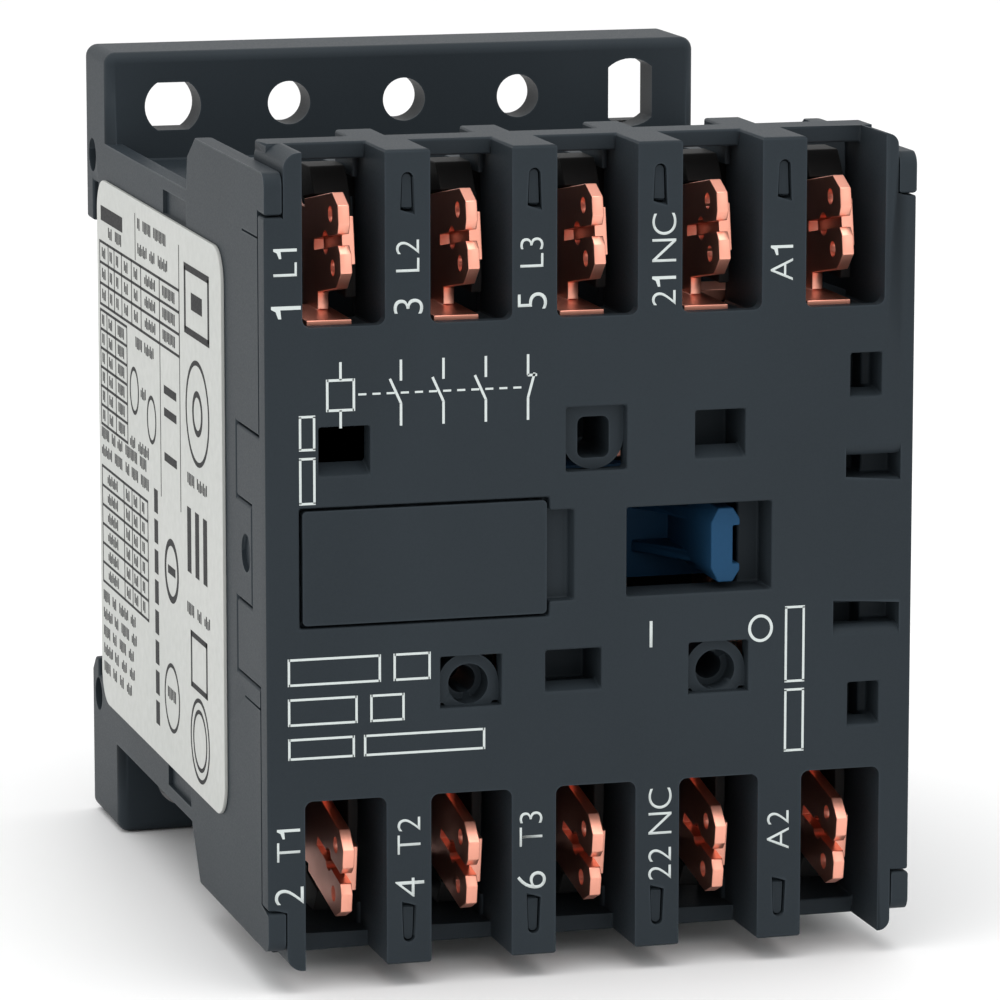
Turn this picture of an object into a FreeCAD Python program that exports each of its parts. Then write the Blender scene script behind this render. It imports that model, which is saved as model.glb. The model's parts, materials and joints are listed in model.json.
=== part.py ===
import FreeCAD, Part
import math
import os

from FreeCAD import Vector

os.makedirs("parts", exist_ok=True)

# Three-pole rail-mounted contactor with one auxiliary pole and tab terminals.
# Millimetres. +X is right, -Y is towards the user, +Z is up.
# The origin is the middle of the rear face.

# ---- overall sizes
WIDTH = 45.0
DEPTH = 57.0
FLANGE_HEIGHT = 58.0
DIVIDER_HEIGHT = 54.9
CHEEK_HEIGHT = 52.3
BODY_HEIGHT = 44.6
BLOCK_DEPTH = 23.0

# ---- housing walls and fits
WALL = 1.6
CHEEK_WALL = 1.2
SNAP_GAP = 0.1
SEAM_GAP = 0.12
CORNER = 0.9
FLOOR_WALL = 1.2
DECK_DROP = 1.3
SLOPE_HEIGHT_TOP = 1.45
SLOPE_HEIGHT_BOTTOM = 3.6
SLOPE_DEPTH = 2.4
HOOK_ROUND = 0.9
SEAM_MARK = 0.15
SEAM_MARKS_Z = (21.7, -9.87)
SEAM_MARK_LENGTH = 4.4
BITE = 0.1
ROUND_SHARE = 0.9

# ---- fixing flanges
TOP_FLANGE = 7.1
BOTTOM_FLANGE = 8.95
FLANGE_PLATE = 3.0
FLANGE_RIM = 1.5
FLANGE_RIB = 1.2
FIXING_X = 35.0
FIXING_Z = 50.0
FIXING_R = 2.1
FIXING_FLATS = 3.5
KEYED_HEIGHT = 5.1
KEYED_WIDTH = 3.4
SMALL_HOLE_R = 1.6
FLANGE_ROUND = 0.8
SIDE_POCKET_DEPTH = 0.3
SMALL_PITCH = 8.75
RIB_STEPS = (-1.5, -0.45, 0.45, 1.5)
SIDE_HOLE_R = 1.25
SIDE_HOLE_DEPTH = 1.2
SIDE_HOLE_TOP = 1.9
SIDE_HOLE_BOTTOM = 1.4
SIDE_POCKET = (0.3, 7.7, 2.6, 0.9)
DIMPLE_R = 1.3
DIMPLE_DEPTH = 0.3
DIMPLE_SETBACK = 5.8

# ---- rail channel for a 35 mm rail
RAIL_SEAT = 3.9
RAIL_LIP = 2.0
LIP_TOP = 16.1
LIP_BOTTOM = 17.1
GROOVE_TOP = 19.1
GROOVE_BOTTOM = 18.4
LIP_LEAD = 0.9

# ---- poles and terminal chambers
POLE_PITCH = 8.67
POLE_SHIFT = 0.185
POLES = 5
AUX_POLE = 3
COIL_POLE = 4
CHAMBER_WIDTH = 5.59
CHAMBER_EDGE = 15.9
CHAMBER_ROUND = 0.55
CHAMBER_FLOOR = 15.3
CHAMBER_BACK = 8.2
BAR_SETBACK = 5.3
BAR_DEPTH = 3.0
BAR_HEIGHT = 1.15
LOWER_BAR_DEPTH = 9.0
RIB_WIDTH = 2.6
RIB_SHIFT = 0.6
RIB_DEPTH = 3.9
RIB_HEIGHT = 2.6
DIVIDER_ROUND = 1.1
LIP_DEPTH = 1.0
SIDE_OVERLAP = 0.5
HOOK_PLAY = 0.3

# ---- tab terminals: two 2.8 x 0.8 mm tabs, or one 6.3 mm tab
TAB_THICK = 0.8
TAB_WIDTH = 2.8
TAB_GAP = 0.75
TAB_TILT = 10.0
TAB_SETBACK = 0.4
TAB_HEIGHT = 21.6
TAB_SHIFT = 0.2
BLADE_LENGTH = 9.2
TIP_TAPER = 1.45
TIP_STEP = 0.95
ROOT_TAPER = 0.45
ROOT_STEP = 0.6
TAB_HOLE_R = 0.55
TAB_HOLE_BACK = 2.1
SLOT_DEPTH = 7.0
SLOT_HOLE_R = 0.8
SLOT_HOLE_BACK = 3.8
BACKING = 0.75
BACKING_FRONT = 2.0
BACKING_HALF = 1.6
LEG_DEPTH = 7.5
LEG_INNER = 8.6
FOOT_LEFT = 2.1
FOOT_RIGHT = 1.0
FOOT_SETBACK = 1.8
LEG_TOP = 22.6
LEG_STEP = 0.3
POST_HEIGHT = 1.8
POST_SETBACK = 6.5
AUX_JOG = 5.5
JOG_PLAY = 0.4

# ---- insulating combs above the tabs; the profile is (distance back from the comb's front, height)
GUARD_SETBACK = 5.4
GUARD_ARC = ((2.9, 25.5), (1.0, 22.6), (0.0, 17.0))
GUARD_BACK = ((4.0, 17.0), (5.6, 25.5))
GUARD_LEFT = 0.06
GUARD_RIGHT = 1.6
STRIP_DEPTH = 2.4
STRIP_Z = (23.1, 24.7)

# ---- contacts
TIP_THICK = 0.8
TIP_SIZE = 3.0
TIP_Z = 10.4
TIP_ROUND = 0.5
CONTACT_GAP = 2.75
CONTACT_SETBACK = 14.0
OVERTRAVEL = 0.8
TRAVEL = 3.5
BRIDGE_THICK = 0.8
BRIDGE_WIDTH = 4.0
BRIDGE_HALF = 12.0
BRIDGE_CORNER = 1.0
BRIDGE_NOTCH = (5.0, 7.8)
BRIDGE_WAIST = 0.5
CLOSED_GAP = 0.03
SPRING_LENGTH = 2.5
SPRING_PLAY = 0.05
CONTACT_SPRING_R = 1.45
CONTACT_WIRE_R = 0.2
CONTACT_TURNS = 3

# ---- contact carrier
CARRIER_HALF = 4.0
CARRIER_FRONT = 10.6
CARRIER_BACK = 18.8
LUG_X = 8.45
LUG_WIDTH = 2.05
LUG_HALF = 2.55
LUG_Z = -0.15
LUG_SETBACK = 0.8
LUG_NOTCH = 0.5
LUG_ROUND = 0.5
LUG_LEFT_SLOPE = 1.0
LUG_RIGHT_SLOPE = 0.8
LUG_NOTCH_HALF = 1.25
GUSSETS_Z = (1.0, -2.0)
GUSSET_THICK = 0.75
GUSSET_REACH = 2.6
GUSSET_SETBACK = 5.4
GUSSET_LIP = 0.3
BAR_END = 2.2
BAR_ROUND = 0.6
CARRIER_PLAY = 0.3
GUARD_GAP = 0.12
ARM_THICK = 1.3
ARM_HALF = 5.0
ARM_END = 2.0
ARM_BEAM_HALF = 3.0
ARM_BEAM_REACH = 1.4
SLIDE_PLAY = 0.15

# ---- magnet
COIL_Y = -20.0
STACK = 12.0
LEG_HALF = 3.5
SIDE_LEG_IN = 11.5
SIDE_LEG_OUT = 15.0
CORE_LEFT = -19.0
CORE_BACK = 4.0
POLE_FACE = 2.0
POLE_REST_GAP = 3.55
ARMATURE_RIGHT = 17.5
YOKE = 3.5
BOBBIN_LEFT = -14.7
BOBBIN_RIGHT = 10.1
BOBBIN_WALL = 0.8
BOBBIN_PLAY = 0.4
BOBBIN_HALF = 11.0
BOBBIN_DEEP = 13.0
WINDING_Z = 10.2
WINDING_Y = 12.3
TAPE = 0.15
RING_THICK = 0.6
RING_WIDE = 0.6
RING_Z = 1.4
RING_SETBACK = 0.2
PIN_R = 1.0
PIN_HEAD = 0.6
PIN_HEAD_THICK = 0.5
PIN_RECESS = 0.4
PAD_HALF = 4.0
PAD_Z = (6.0, 12.0)
PAD_ROUND = 1.0
SEAT_LENGTH = 9.0
SEAT_INNER = (-3.0, 1.5)
SEAT_INSET = 0.3
BOBBIN_FLANGE = 1.0
RETURN_R = 1.5
RETURN_WIRE_R = 0.22
RETURN_PLAY = 0.1
RETURN_STOP = 4.0
RETURN_TURNS = 9
STOP_THICK = 1.5
STOP_HALF = 4.0
STOP_REACH = 1.8
LEAD_R = 0.4
LEAD_Z = 14.0
LEAD_PLAY = 0.2
LEAD_RISE = 1.8
LEAD_BEND = 1.2
LEAD_LANDING = 2.4
LEAD_FRONT = 10.0
LEAD_START = 2.0

# ---- middle plate
PLATE_THICK = 1.8
PLATE_HALF = 24.4
BARRIER = 1.0
BARRIER_DEPTH = 8.4
BARRIER_INNER = 0.8
HOLDER_WALL = 0.9
HOLDER_PLAY = 0.03
HOLDER_REACH = 1.6
HOLDER_Z = (16.2, 21.0)
AUX_HOLDER_Z = (12.8, 16.0)
TRACK_INNER = 2.0
TRACK_LEFT = 2.5
TRACK_RIGHT = 0.8
CLAMP_X = (0.3, 3.2)
CLAMP_Z = (5.5, 9.5)

# ---- label, marker, rail spring
LABEL_THICK = 0.25
LABEL_FRONT = 45.3
LABEL_BACK = 4.5
LABEL_HALF = 19.65
LABEL_CORNER = 2.4
MARKER_LEFT = -20.22
MARKER_RIGHT = -3.09
MARKER_TOP = 3.87
MARKER_BOTTOM = -4.2
MARKER_GAP = 0.2
MARKER_THICK = 0.9
MARKER_CLIP = 1.2
MARKER_CLIP_REACH = 1.4
MARKER_CLIP_HEIGHT = 2.0
MARKER_CLIP_INSET = 3.0
MARKER_ROUND = 0.3
MARKER_FLOOR = 0.9
FLOOR_RIM = 0.2
PRY_REACH = 1.76
PRY_FLOOR_REACH = 1.5
PRY_DEPTH = 1.0
PRY_BACK = 0.5
PRY_INSET = (1.0, 0.9)
CLIP_PLAY = 0.1
RAIL_WIRE_R = 0.5
RAIL_SPRING_END = 17.7
RAIL_SPRING_BOW = 16.9
RAIL_SPRING_HALF = 17.0
RAIL_SPRING_BEND = 10.0

# ---- cover sides: how far the cover reaches back over the side arms
HOOK_Z = 23.25
PLATE_REACH = 1.85
TONGUE_REACH = 8.4
TONGUE_HALF = 8.4
LATCH_FRONT = 4.2
LATCH_HALF = 3.4

# Openings of the front wall: left, right, bottom, top, bevel at the sill.
PLAIN_WINDOWS = [
    (-18.88, -15.40, 5.93, 9.24, 0.8),
    (-3.33, 0.55, -9.40, -6.57, 0.5),
    (7.07, 10.57, 5.93, 9.24, 0.8),
    (17.99, 20.20, 9.69, 12.68, 0.4),
    (18.02, 20.22, -12.94, -9.95, 0.4),
]
SLOT_WINDOWS = [(17.70, 21.60, 4.07, 6.50, 1), (16.90, 21.62, -6.90, -4.38, -1)]
INDICATOR = (2.30, 12.47, -3.17, 2.88)
ROUND_BOSSES = [(-10.60, -6.39), (6.71, 10.91)]
BOSS_Z = (-10.11, -6.59)
SLOT_ROUND = 0.9
POCKET_DEPTH = 5.0
POCKET_WALL = 0.6
SLEEVE_DEPTH = 3.5
SLEEVE_LEDGE = 1.5
CROWN_BOSS = (-1.94, 2.27, 5.48, 9.84)
BOSS_DEPTH = 7.0
BOSS_SETBACK = 0.9
BOSS_FOOT = 0.2
CROWN_HOLE_HALF = 1.1
CROWN_HOLE_Z = (3.6, 0.8)
CROWN_HOLE_ROUND = 0.5
PEG_HOLE_R = 1.38
PEG_STEP_R = 0.95
PEG_STEP_DEPTH = 1.7
ARCH_WIDTH = 1.0
ARCH_BOTTOM = 1.5
ARCH_TOP = 4.15
ARCH_DEPTH = 1.0
ARCH_GAP = 0.14
ARCH_TONGUE = 0.3
ARCH_NARROWING = 0.8

# ---- places worked out from the sizes above
HALF_W = WIDTH / 2
FRONT = -DEPTH
BLOCK_BACK = FRONT + BLOCK_DEPTH
HALF_BODY = BODY_HEIGHT / 2
HALF_FLANGE = FLANGE_HEIGHT / 2
HALF_CHEEK = CHEEK_HEIGHT / 2
HALF_DIVIDER = DIVIDER_HEIGHT / 2
COVER_HALF = HALF_W - CHEEK_WALL - SNAP_GAP
LEG_FRONT = FRONT + CHAMBER_BACK + LEG_STEP
LEG_BACK = LEG_FRONT + LEG_DEPTH
PLATE_FRONT = BLOCK_BACK - PLATE_THICK
CAVITY_BACK = -RAIL_SEAT - WALL
CAVITY_X = HALF_W - WALL
CAVITY_Z = HALF_BODY - DECK_DROP - WALL
RETURN_Z = CAVITY_Z - RETURN_R - RETURN_PLAY
CORE_FRONT = COIL_Y - STACK / 2
CORE_REAR = COIL_Y + STACK / 2
CONTACT_Y = FRONT + CONTACT_SETBACK
CARRIER_Y0 = FRONT + CARRIER_FRONT
CARRIER_Y1 = FRONT + CARRIER_BACK
# Each step of the cover's sides: bottom, top, and where the base's side arm begins.
COVER_SIDE_STEPS = [
    (-HOOK_Z, HOOK_Z, FRONT + PLATE_REACH + SEAM_GAP),
    (-TONGUE_HALF, TONGUE_HALF, FRONT + TONGUE_REACH + SEAM_GAP),
]


def box(x0, x1, y0, y1, z0, z1):
    """A block between two corners."""
    return Part.makeBox(x1 - x0, y1 - y0, z1 - z0, Vector(x0, y0, z0))


def join(shapes):
    """One solid from touching or crossing solids."""
    shapes = list(shapes)
    return shapes[0].fuse(shapes[1:]).removeSplitter() if len(shapes) > 1 else shapes[0]


def mirror_z(shape, side):
    """The shape itself for the upper side, its mirror image for the lower one."""
    return shape if side > 0 else shape.mirror(Vector(0, 0, 0), Vector(0, 0, 1))


def outline_x(points, x0, x1):
    """A prism along X from (y, z) points."""
    ring = [Vector(x0, y, z) for y, z in points]
    face = Part.Face(Part.makePolygon(ring + ring[:1]))
    return face.extrude(Vector(x1 - x0, 0, 0))


def outline_y(points, y0, y1):
    """A prism along Y from (x, z) points."""
    ring = [Vector(x, y0, z) for x, z in points]
    face = Part.Face(Part.makePolygon(ring + ring[:1]))
    return face.extrude(Vector(0, y1 - y0, 0))


def outline_z(points, z0, z1):
    """A prism along Z from (x, y) points."""
    ring = [Vector(x, y, z0) for x, y in points]
    face = Part.Face(Part.makePolygon(ring + ring[:1]))
    return face.extrude(Vector(0, 0, z1 - z0))


def rounded(shape, radius, direction):
    """The shape with its edges along one direction rounded."""
    edges = []
    for edge in shape.Edges:
        if len(edge.Vertexes) < 2:
            continue
        step = edge.Vertexes[1].Point.sub(edge.Vertexes[0].Point)
        step.normalize()
        if abs(step.dot(direction)) > 0.999:
            edges.append(edge)
    return shape.makeFillet(radius, edges)


def rod_x(x0, x1, y, z, radius):
    """A round bar along X."""
    return Part.makeCylinder(radius, x1 - x0, Vector(x0, y, z), Vector(1, 0, 0))


def rod_y(x, y0, y1, z, radius):
    """A round bar along Y."""
    return Part.makeCylinder(radius, y1 - y0, Vector(x, y0, z), Vector(0, 1, 0))


def coil_spring_x(x0, x1, y, z, radius, wire, turns):
    """A helical wire spring along X between two planes."""
    length = x1 - x0 - 2 * wire
    helix = Part.makeHelix(length / turns, length, radius - wire)
    start = Vector(radius - wire, 0, 0)
    pitch = length / turns
    along = Vector(0, 2 * math.pi * (radius - wire), pitch)
    section = Part.Wire([Part.makeCircle(wire, start, along)])
    spring = Part.Wire(helix).makePipeShell([section], True, True)
    spring.rotate(Vector(0, 0, 0), Vector(0, 1, 0), 90)
    spring.translate(Vector(x0 + wire, y, z))
    return spring


def save(name, shapes):
    """One node, as a single solid or a group of separate ones."""
    shapes = list(shapes)
    shape = shapes[0] if len(shapes) == 1 else Part.makeCompound(shapes)
    shape.exportStep("parts/" + name + ".step")


def pole_x(pole):
    """Middle of a terminal chamber."""
    return POLE_SHIFT + (pole - (POLES - 1) / 2) * POLE_PITCH


# ---------------------------------------------------------------- rear base
def flange(side, thickness):
    """A fixing flange: a front plate with a rim and ribs, hollow behind."""
    z0 = HALF_BODY - WALL
    z1 = HALF_FLANGE
    outer = box(-HALF_W, HALF_W, -thickness, 0, z0, z1)
    outer = rounded(outer, CORNER, Vector(0, 1, 0))
    z_floor = GROOVE_TOP + FLANGE_RIM
    hollow = box(-HALF_W + FLANGE_RIM, HALF_W - FLANGE_RIM, -thickness + FLANGE_PLATE, 1,
                 z_floor, z1 - FLANGE_RIM)
    outer = outer.cut(hollow)
    brow = [edge for edge in outer.Edges
            if abs(edge.CenterOfMass.y + thickness) < 1e-6 and abs(edge.CenterOfMass.z - z1) < 1e-6]
    outer = outer.makeFillet(min(FLANGE_ROUND, ROUND_SHARE * CORNER), brow)
    ribs = []
    for step in RIB_STEPS:
        x = step * SMALL_PITCH
        ribs.append(box(x - FLANGE_RIB / 2, x + FLANGE_RIB / 2, -thickness + FLANGE_PLATE, 0,
                        z_floor, z1 - FLANGE_RIM))
    outer = outer.fuse(ribs)
    z = FIXING_Z / 2
    for step in (-1, 0, 1):
        outer = outer.cut(rod_y(step * SMALL_PITCH, -thickness - 1, 1, z, SMALL_HOLE_R))
    if side > 0:
        left = rod_y(-FIXING_X / 2, -thickness - 1, 1, z, FIXING_R)
        flats = box(-HALF_W, 0, -thickness - 1, 1, z - FIXING_FLATS / 2, z + FIXING_FLATS / 2)
        right = rod_y(FIXING_X / 2, -thickness - 1, 1, z, KEYED_HEIGHT / 2)
        slot = box(FIXING_X / 2 - KEYED_WIDTH / 2, FIXING_X / 2 + KEYED_WIDTH / 2, -thickness - 1, 1,
                   0, HALF_FLANGE)
        outer = outer.cut(left.common(flats)).cut(right.common(slot))
    else:
        for x in (-FIXING_X / 2, FIXING_X / 2):
            outer = outer.cut(rod_y(x, -thickness - 1, 1, z, FIXING_R))
    return mirror_z(outer, side)


def rail_channel():
    """The space that a 35 mm rail takes, with the grooves behind both lips."""
    reach = HALF_W + 1
    mouth = box(-reach, reach, -RAIL_SEAT, 1, -LIP_BOTTOM, LIP_TOP)
    groove = box(-reach, reach, -RAIL_SEAT, -RAIL_LIP, -GROOVE_BOTTOM, GROOVE_TOP)
    lead = outline_x(
        [(1, -LIP_BOTTOM), (-LIP_LEAD, -LIP_BOTTOM), (1, -LIP_BOTTOM - LIP_LEAD - 1)], -reach, reach
    )
    return join([mouth, groove, lead])


def cheek(x_out, x_in):
    """A side arm of the base with a hook at each end, reaching round the cover."""
    x0 = min(x_out, x_in)
    x1 = max(x_out, x_in)
    back = BLOCK_BACK
    points = [
        (back, -HALF_CHEEK + SLOPE_HEIGHT_BOTTOM), (back - SLOPE_DEPTH, -HALF_CHEEK), (FRONT, -HALF_CHEEK),
        (FRONT, HALF_CHEEK), (back - SLOPE_DEPTH, HALF_CHEEK), (back, HALF_CHEEK - SLOPE_HEIGHT_TOP),
    ]
    arm = outline_x(points, x0, x1)
    tips = [edge for edge in arm.Edges
            if abs(edge.CenterOfMass.y - FRONT) < 1e-6 and abs(abs(edge.CenterOfMass.z) - HALF_CHEEK) < 1e-6]
    arm = arm.makeFillet(HOOK_ROUND, tips)
    for z0, z1, y1 in COVER_SIDE_STEPS:
        arm = arm.cut(box(x0 - 1, x1 + 1, FRONT - 1, y1, z0 - SEAM_GAP, z1 + SEAM_GAP))
    arm = arm.fuse(box(x0, x1, FRONT + LATCH_FRONT, FRONT + TONGUE_REACH + 1, -LATCH_HALF, LATCH_HALF))
    mark_y = FRONT + PLATE_REACH + SEAM_GAP
    for z in SEAM_MARKS_Z:
        arm = arm.cut(box(x_out - SEAM_MARK, x_out + SEAM_MARK, mark_y - BITE, mark_y + SEAM_MARK_LENGTH,
                          z - SEAM_MARK / 2, z + SEAM_MARK / 2))
    return arm.removeSplitter()


def rear_base():
    """The rear housing: a tub for the magnet, side arms, flanges and rail channel."""
    tub = box(-HALF_W, HALF_W, BLOCK_BACK, 0, -HALF_BODY, HALF_BODY)
    deck_x = HALF_W - CHEEK_WALL
    for side in (1, -1):
        deck = box(-deck_x, deck_x, BLOCK_BACK - 1, -TOP_FLANGE, HALF_BODY - DECK_DROP, HALF_BODY + 1)
        tub = tub.cut(mirror_z(deck, side))
    cavity = box(-CAVITY_X, CAVITY_X, BLOCK_BACK - 1, CAVITY_BACK, -CAVITY_Z, CAVITY_Z)
    tub = tub.cut(cavity)
    pieces = [tub, flange(1, TOP_FLANGE), flange(-1, BOTTOM_FLANGE)]
    pieces.append(cheek(-HALF_W, -HALF_W + CHEEK_WALL))
    pieces.append(cheek(HALF_W, HALF_W - CHEEK_WALL))
    for side in (1, -1):
        for x0, x1 in ((CORE_LEFT, CORE_LEFT + SEAT_LENGTH), (SEAT_INNER[0], POLE_FACE - SEAT_INNER[1])):
            seat = box(x0, x1, CORE_REAR, CAVITY_BACK, SIDE_LEG_IN + SEAT_INSET, SIDE_LEG_OUT - SEAT_INSET)
            pieces.append(mirror_z(seat, side))
        stop = box(RETURN_STOP - STOP_THICK, RETURN_STOP, COIL_Y - STOP_HALF, CAVITY_BACK,
                   RETURN_Z - STOP_REACH, CAVITY_Z)
        pieces.append(mirror_z(stop, side))
    base = pieces[0].fuse(pieces[1:])
    base = base.cut(rail_channel())
    for z in (GROOVE_TOP + SIDE_HOLE_TOP, -GROOVE_BOTTOM - SIDE_HOLE_BOTTOM):
        for x0 in (-HALF_W - 1, HALF_W - SIDE_HOLE_DEPTH):
            base = base.cut(rod_x(x0, x0 + 1 + SIDE_HOLE_DEPTH, -RAIL_LIP, z, SIDE_HOLE_R))
    near, far, low, high = SIDE_POCKET
    for side in (1, -1):
        for x0 in (-HALF_W - 1, HALF_W - SIDE_POCKET_DEPTH):
            pocket = box(x0, x0 + 1 + SIDE_POCKET_DEPTH, BLOCK_BACK + near, BLOCK_BACK + far,
                         HALF_BODY - low, HALF_BODY - high)
            base = base.cut(mirror_z(pocket, side))
    for x in (-HALF_W, HALF_W):
        dimple = rod_x(x - DIMPLE_DEPTH, x + DIMPLE_DEPTH, FRONT + DIMPLE_SETBACK, 0, DIMPLE_R)
        base = base.cut(dimple)
    return base.removeSplitter()


# ---------------------------------------------------------------- front cover
def front_window(x0, x1, z0, z1, bevel):
    """A rectangular opening with a sloping sill."""
    hole = box(x0, x1, FRONT - 1, FRONT + WALL + 1, z0 + bevel, z1)
    sill = outline_x(
        [(FRONT - 0.01, z0), (FRONT + WALL + 0.01, z0 + bevel), (FRONT - 0.01, z0 + bevel)], x0, x1
    )
    return hole.fuse(sill)


def sleeve(x0, x1, z0, z1, depth, closed):
    """Walls behind an opening: a blind pocket, or an open sleeve with a ledge at the right."""
    y1 = FRONT + depth
    x_limit = COVER_HALF - BITE
    outer = box(x0 - POCKET_WALL, min(x1 + POCKET_WALL, x_limit), FRONT + BITE, y1,
                z0 - POCKET_WALL, z1 + POCKET_WALL)
    y_floor = y1 - POCKET_WALL if closed else y1 + 1
    inner = outer.cut(box(x0, x1, FRONT, y_floor, z0, z1))
    if closed:
        return inner
    return inner.fuse(box(x1 - SLEEVE_LEDGE, x1, y1 - POCKET_WALL, y1, z0, z1))


def boss(x0, x1, z0, z1, crown_up):
    """A socket post behind an opening, round at one end, with a hole for a pin."""
    radius = (x1 - x0) / 2
    x = (x0 + x1) / 2
    y0 = FRONT + BOSS_SETBACK
    y1 = FRONT + BOSS_DEPTH
    if crown_up:
        body = box(x0, x1, y0, y1, z0 + BOSS_FOOT, z1 - radius)
        body = body.fuse(rod_y(x, y0, y1, z1 - radius, radius))
        body = body.cut(rod_y(x, y0 - 1, y0 + PEG_STEP_DEPTH, z1 - radius, PEG_HOLE_R))
        return body.cut(rod_y(x, y0 - 1, y1 + 1, z1 - radius, PEG_STEP_R))
    body = box(x0, x1, y0, y1, z0 + radius, z1)
    body = body.fuse(rod_y(x, y0, y1, z0 + radius, radius))
    low, high = CROWN_HOLE_Z
    hole = box(x - CROWN_HOLE_HALF, x + CROWN_HOLE_HALF, y0 - 1, y1 + 1, z1 - low, z1 - high)
    return body.cut(rounded(hole, CROWN_HOLE_ROUND, Vector(0, 1, 0)))


def chamber_corner(x, way):
    """The rounded corner between a divider and the lip of a chamber."""
    x_far = x + way * CHAMBER_ROUND
    z_far = CHAMBER_EDGE + CHAMBER_ROUND
    x_near = x - way * BITE
    block = box(min(x_near, x_far), max(x_near, x_far), FRONT, FRONT + LIP_DEPTH,
                CHAMBER_EDGE - BITE, z_far)
    return block.cut(rod_y(x_far, FRONT - 1, FRONT + LIP_DEPTH + 1, z_far, CHAMBER_ROUND))


def front_cover():
    """The front housing: front wall, chamber dividers, bars and side walls."""
    back = FRONT + CHAMBER_BACK
    x_side = COVER_HALF
    # the middle box behind the front wall
    shell = box(-x_side, x_side, FRONT, PLATE_FRONT, -CHAMBER_FLOOR, CHAMBER_FLOOR)
    hollow = box(-x_side + WALL, x_side - WALL, FRONT + WALL, PLATE_FRONT + 1,
                 -CHAMBER_FLOOR + FLOOR_WALL, CHAMBER_FLOOR - FLOOR_WALL)
    shell = shell.cut(hollow)
    # the floors stop where the terminal legs pass behind them
    for side in (1, -1):
        passage = box(-x_side + WALL, x_side - WALL, back, PLATE_FRONT + 1,
                      CHAMBER_FLOOR - FLOOR_WALL - BITE, CHAMBER_FLOOR + 1)
        shell = shell.cut(mirror_z(passage, side))
    pieces = [shell]
    # the edges of the front plate and the latch tongue, flush with the base's sides
    for x0, x1 in ((-HALF_W, -x_side + SIDE_OVERLAP), (x_side - SIDE_OVERLAP, HALF_W)):
        for z0, z1, y1 in COVER_SIDE_STEPS:
            pieces.append(box(x0, x1, FRONT, y1 - SEAM_GAP, z0, z1))
    # dividers, side walls, bars and lips of the terminal chambers
    chamber_edges = [pole_x(pole) + end * CHAMBER_WIDTH / 2 for pole in range(POLES) for end in (-1, 1)]
    walls = list(zip([-x_side] + chamber_edges[1::2], chamber_edges[0::2] + [x_side]))
    for side in (1, -1):
        for x0, x1 in walls:
            outer = x0 <= -x_side or x1 >= x_side
            block = box(x0, x1, FRONT, back, CHAMBER_FLOOR - 1, HALF_DIVIDER)
            if outer:
                round_x = x0 if x0 <= -x_side else x1
                corner = [edge for edge in block.Edges
                          if abs(edge.CenterOfMass.x - round_x) < 1e-6
                          and abs(edge.CenterOfMass.z - HALF_DIVIDER) < 1e-6]
                block = block.makeFillet(min(DIVIDER_ROUND, ROUND_SHARE * (x1 - x0)), corner)
            pieces.append(mirror_z(block, side))
            if not outer:
                middle = (x0 + x1) / 2 - RIB_SHIFT
                rib = box(middle - RIB_WIDTH / 2, middle + RIB_WIDTH / 2, back - 1, back + RIB_DEPTH,
                          HALF_DIVIDER - RIB_HEIGHT, HALF_DIVIDER)
                pieces.append(mirror_z(rib, side))
        bar_depth = BAR_DEPTH if side > 0 else LOWER_BAR_DEPTH
        bar_front = FRONT + BAR_SETBACK
        bar = box(-x_side + BITE, x_side - BITE, bar_front, bar_front + bar_depth,
                  HALF_DIVIDER - BAR_HEIGHT, HALF_DIVIDER)
        pieces.append(mirror_z(bar, side))
        lip = box(-x_side, x_side, FRONT, FRONT + LIP_DEPTH, CHAMBER_FLOOR - BITE, CHAMBER_EDGE)
        pieces.append(mirror_z(lip, side))
        for index, x in enumerate(chamber_edges):
            pieces.append(mirror_z(chamber_corner(x, -1 if index % 2 else 1), side))
    for x0, x1, z0, z1 in [window[:4] for window in PLAIN_WINDOWS + SLOT_WINDOWS]:
        pieces.append(sleeve(x0, x1, z0, z1, POCKET_DEPTH, True))
    pieces.append(sleeve(*INDICATOR, SLEEVE_DEPTH, False))
    cover = pieces[0].fuse(pieces[1:])
    # windows in the front wall
    for x0, x1, z0, z1, bevel in PLAIN_WINDOWS:
        cover = cover.cut(front_window(x0, x1, z0, z1, bevel))
    for x0, x1, z0, z1, side in SLOT_WINDOWS:
        cover = cover.cut(slot_window(x0, x1, z0, z1, side))
    x0, x1, z0, z1 = INDICATOR
    cover = cover.cut(box(x0, x1, FRONT - 1, FRONT + WALL + 1, z0, z1))
    bosses = []
    for x0, x1 in ROUND_BOSSES:
        z0, z1 = BOSS_Z
        cover = cover.cut(box(x0, x1, FRONT - 1, FRONT + WALL + 1, z0, z1))
        bosses.append(boss(x0, x1, z0, z1, True))
    x0, x1, z0, z1 = CROWN_BOSS
    cover = cover.cut(box(x0, x1, FRONT - 1, FRONT + WALL + 1, z0, z1))
    bosses.append(boss(x0, x1, z0, z1, False))
    cover = cover.fuse(bosses)
    cover = cover.cut(marker_pocket())
    cover = cover.fuse(marker_floor()).cut(marker_slots())
    for x0, x1 in ((-HALF_W - 1, -x_side), (x_side, HALF_W + 1)):
        cover = cover.cut(box(x0, x1, FRONT + LATCH_FRONT - SEAM_GAP, FRONT + TONGUE_REACH + 1,
                              -LATCH_HALF - SEAM_GAP, LATCH_HALF + SEAM_GAP))
    for side in (1, -1):
        for pole in range(POLES - 1):
            cover = cover.cut(mirror_z(divider_slot(pole_x(pole) + POLE_PITCH / 2), side))
        for x0, x1 in ((-HALF_W - 1, -x_side), (x_side, HALF_W + 1)):
            hook_room = box(x0, x1, FRONT - 1, FRONT + PLATE_REACH + SIDE_OVERLAP,
                            HOOK_Z, HALF_CHEEK + HOOK_PLAY)
            cover = cover.cut(mirror_z(hook_room, side))
    return cover.removeSplitter()


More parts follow.
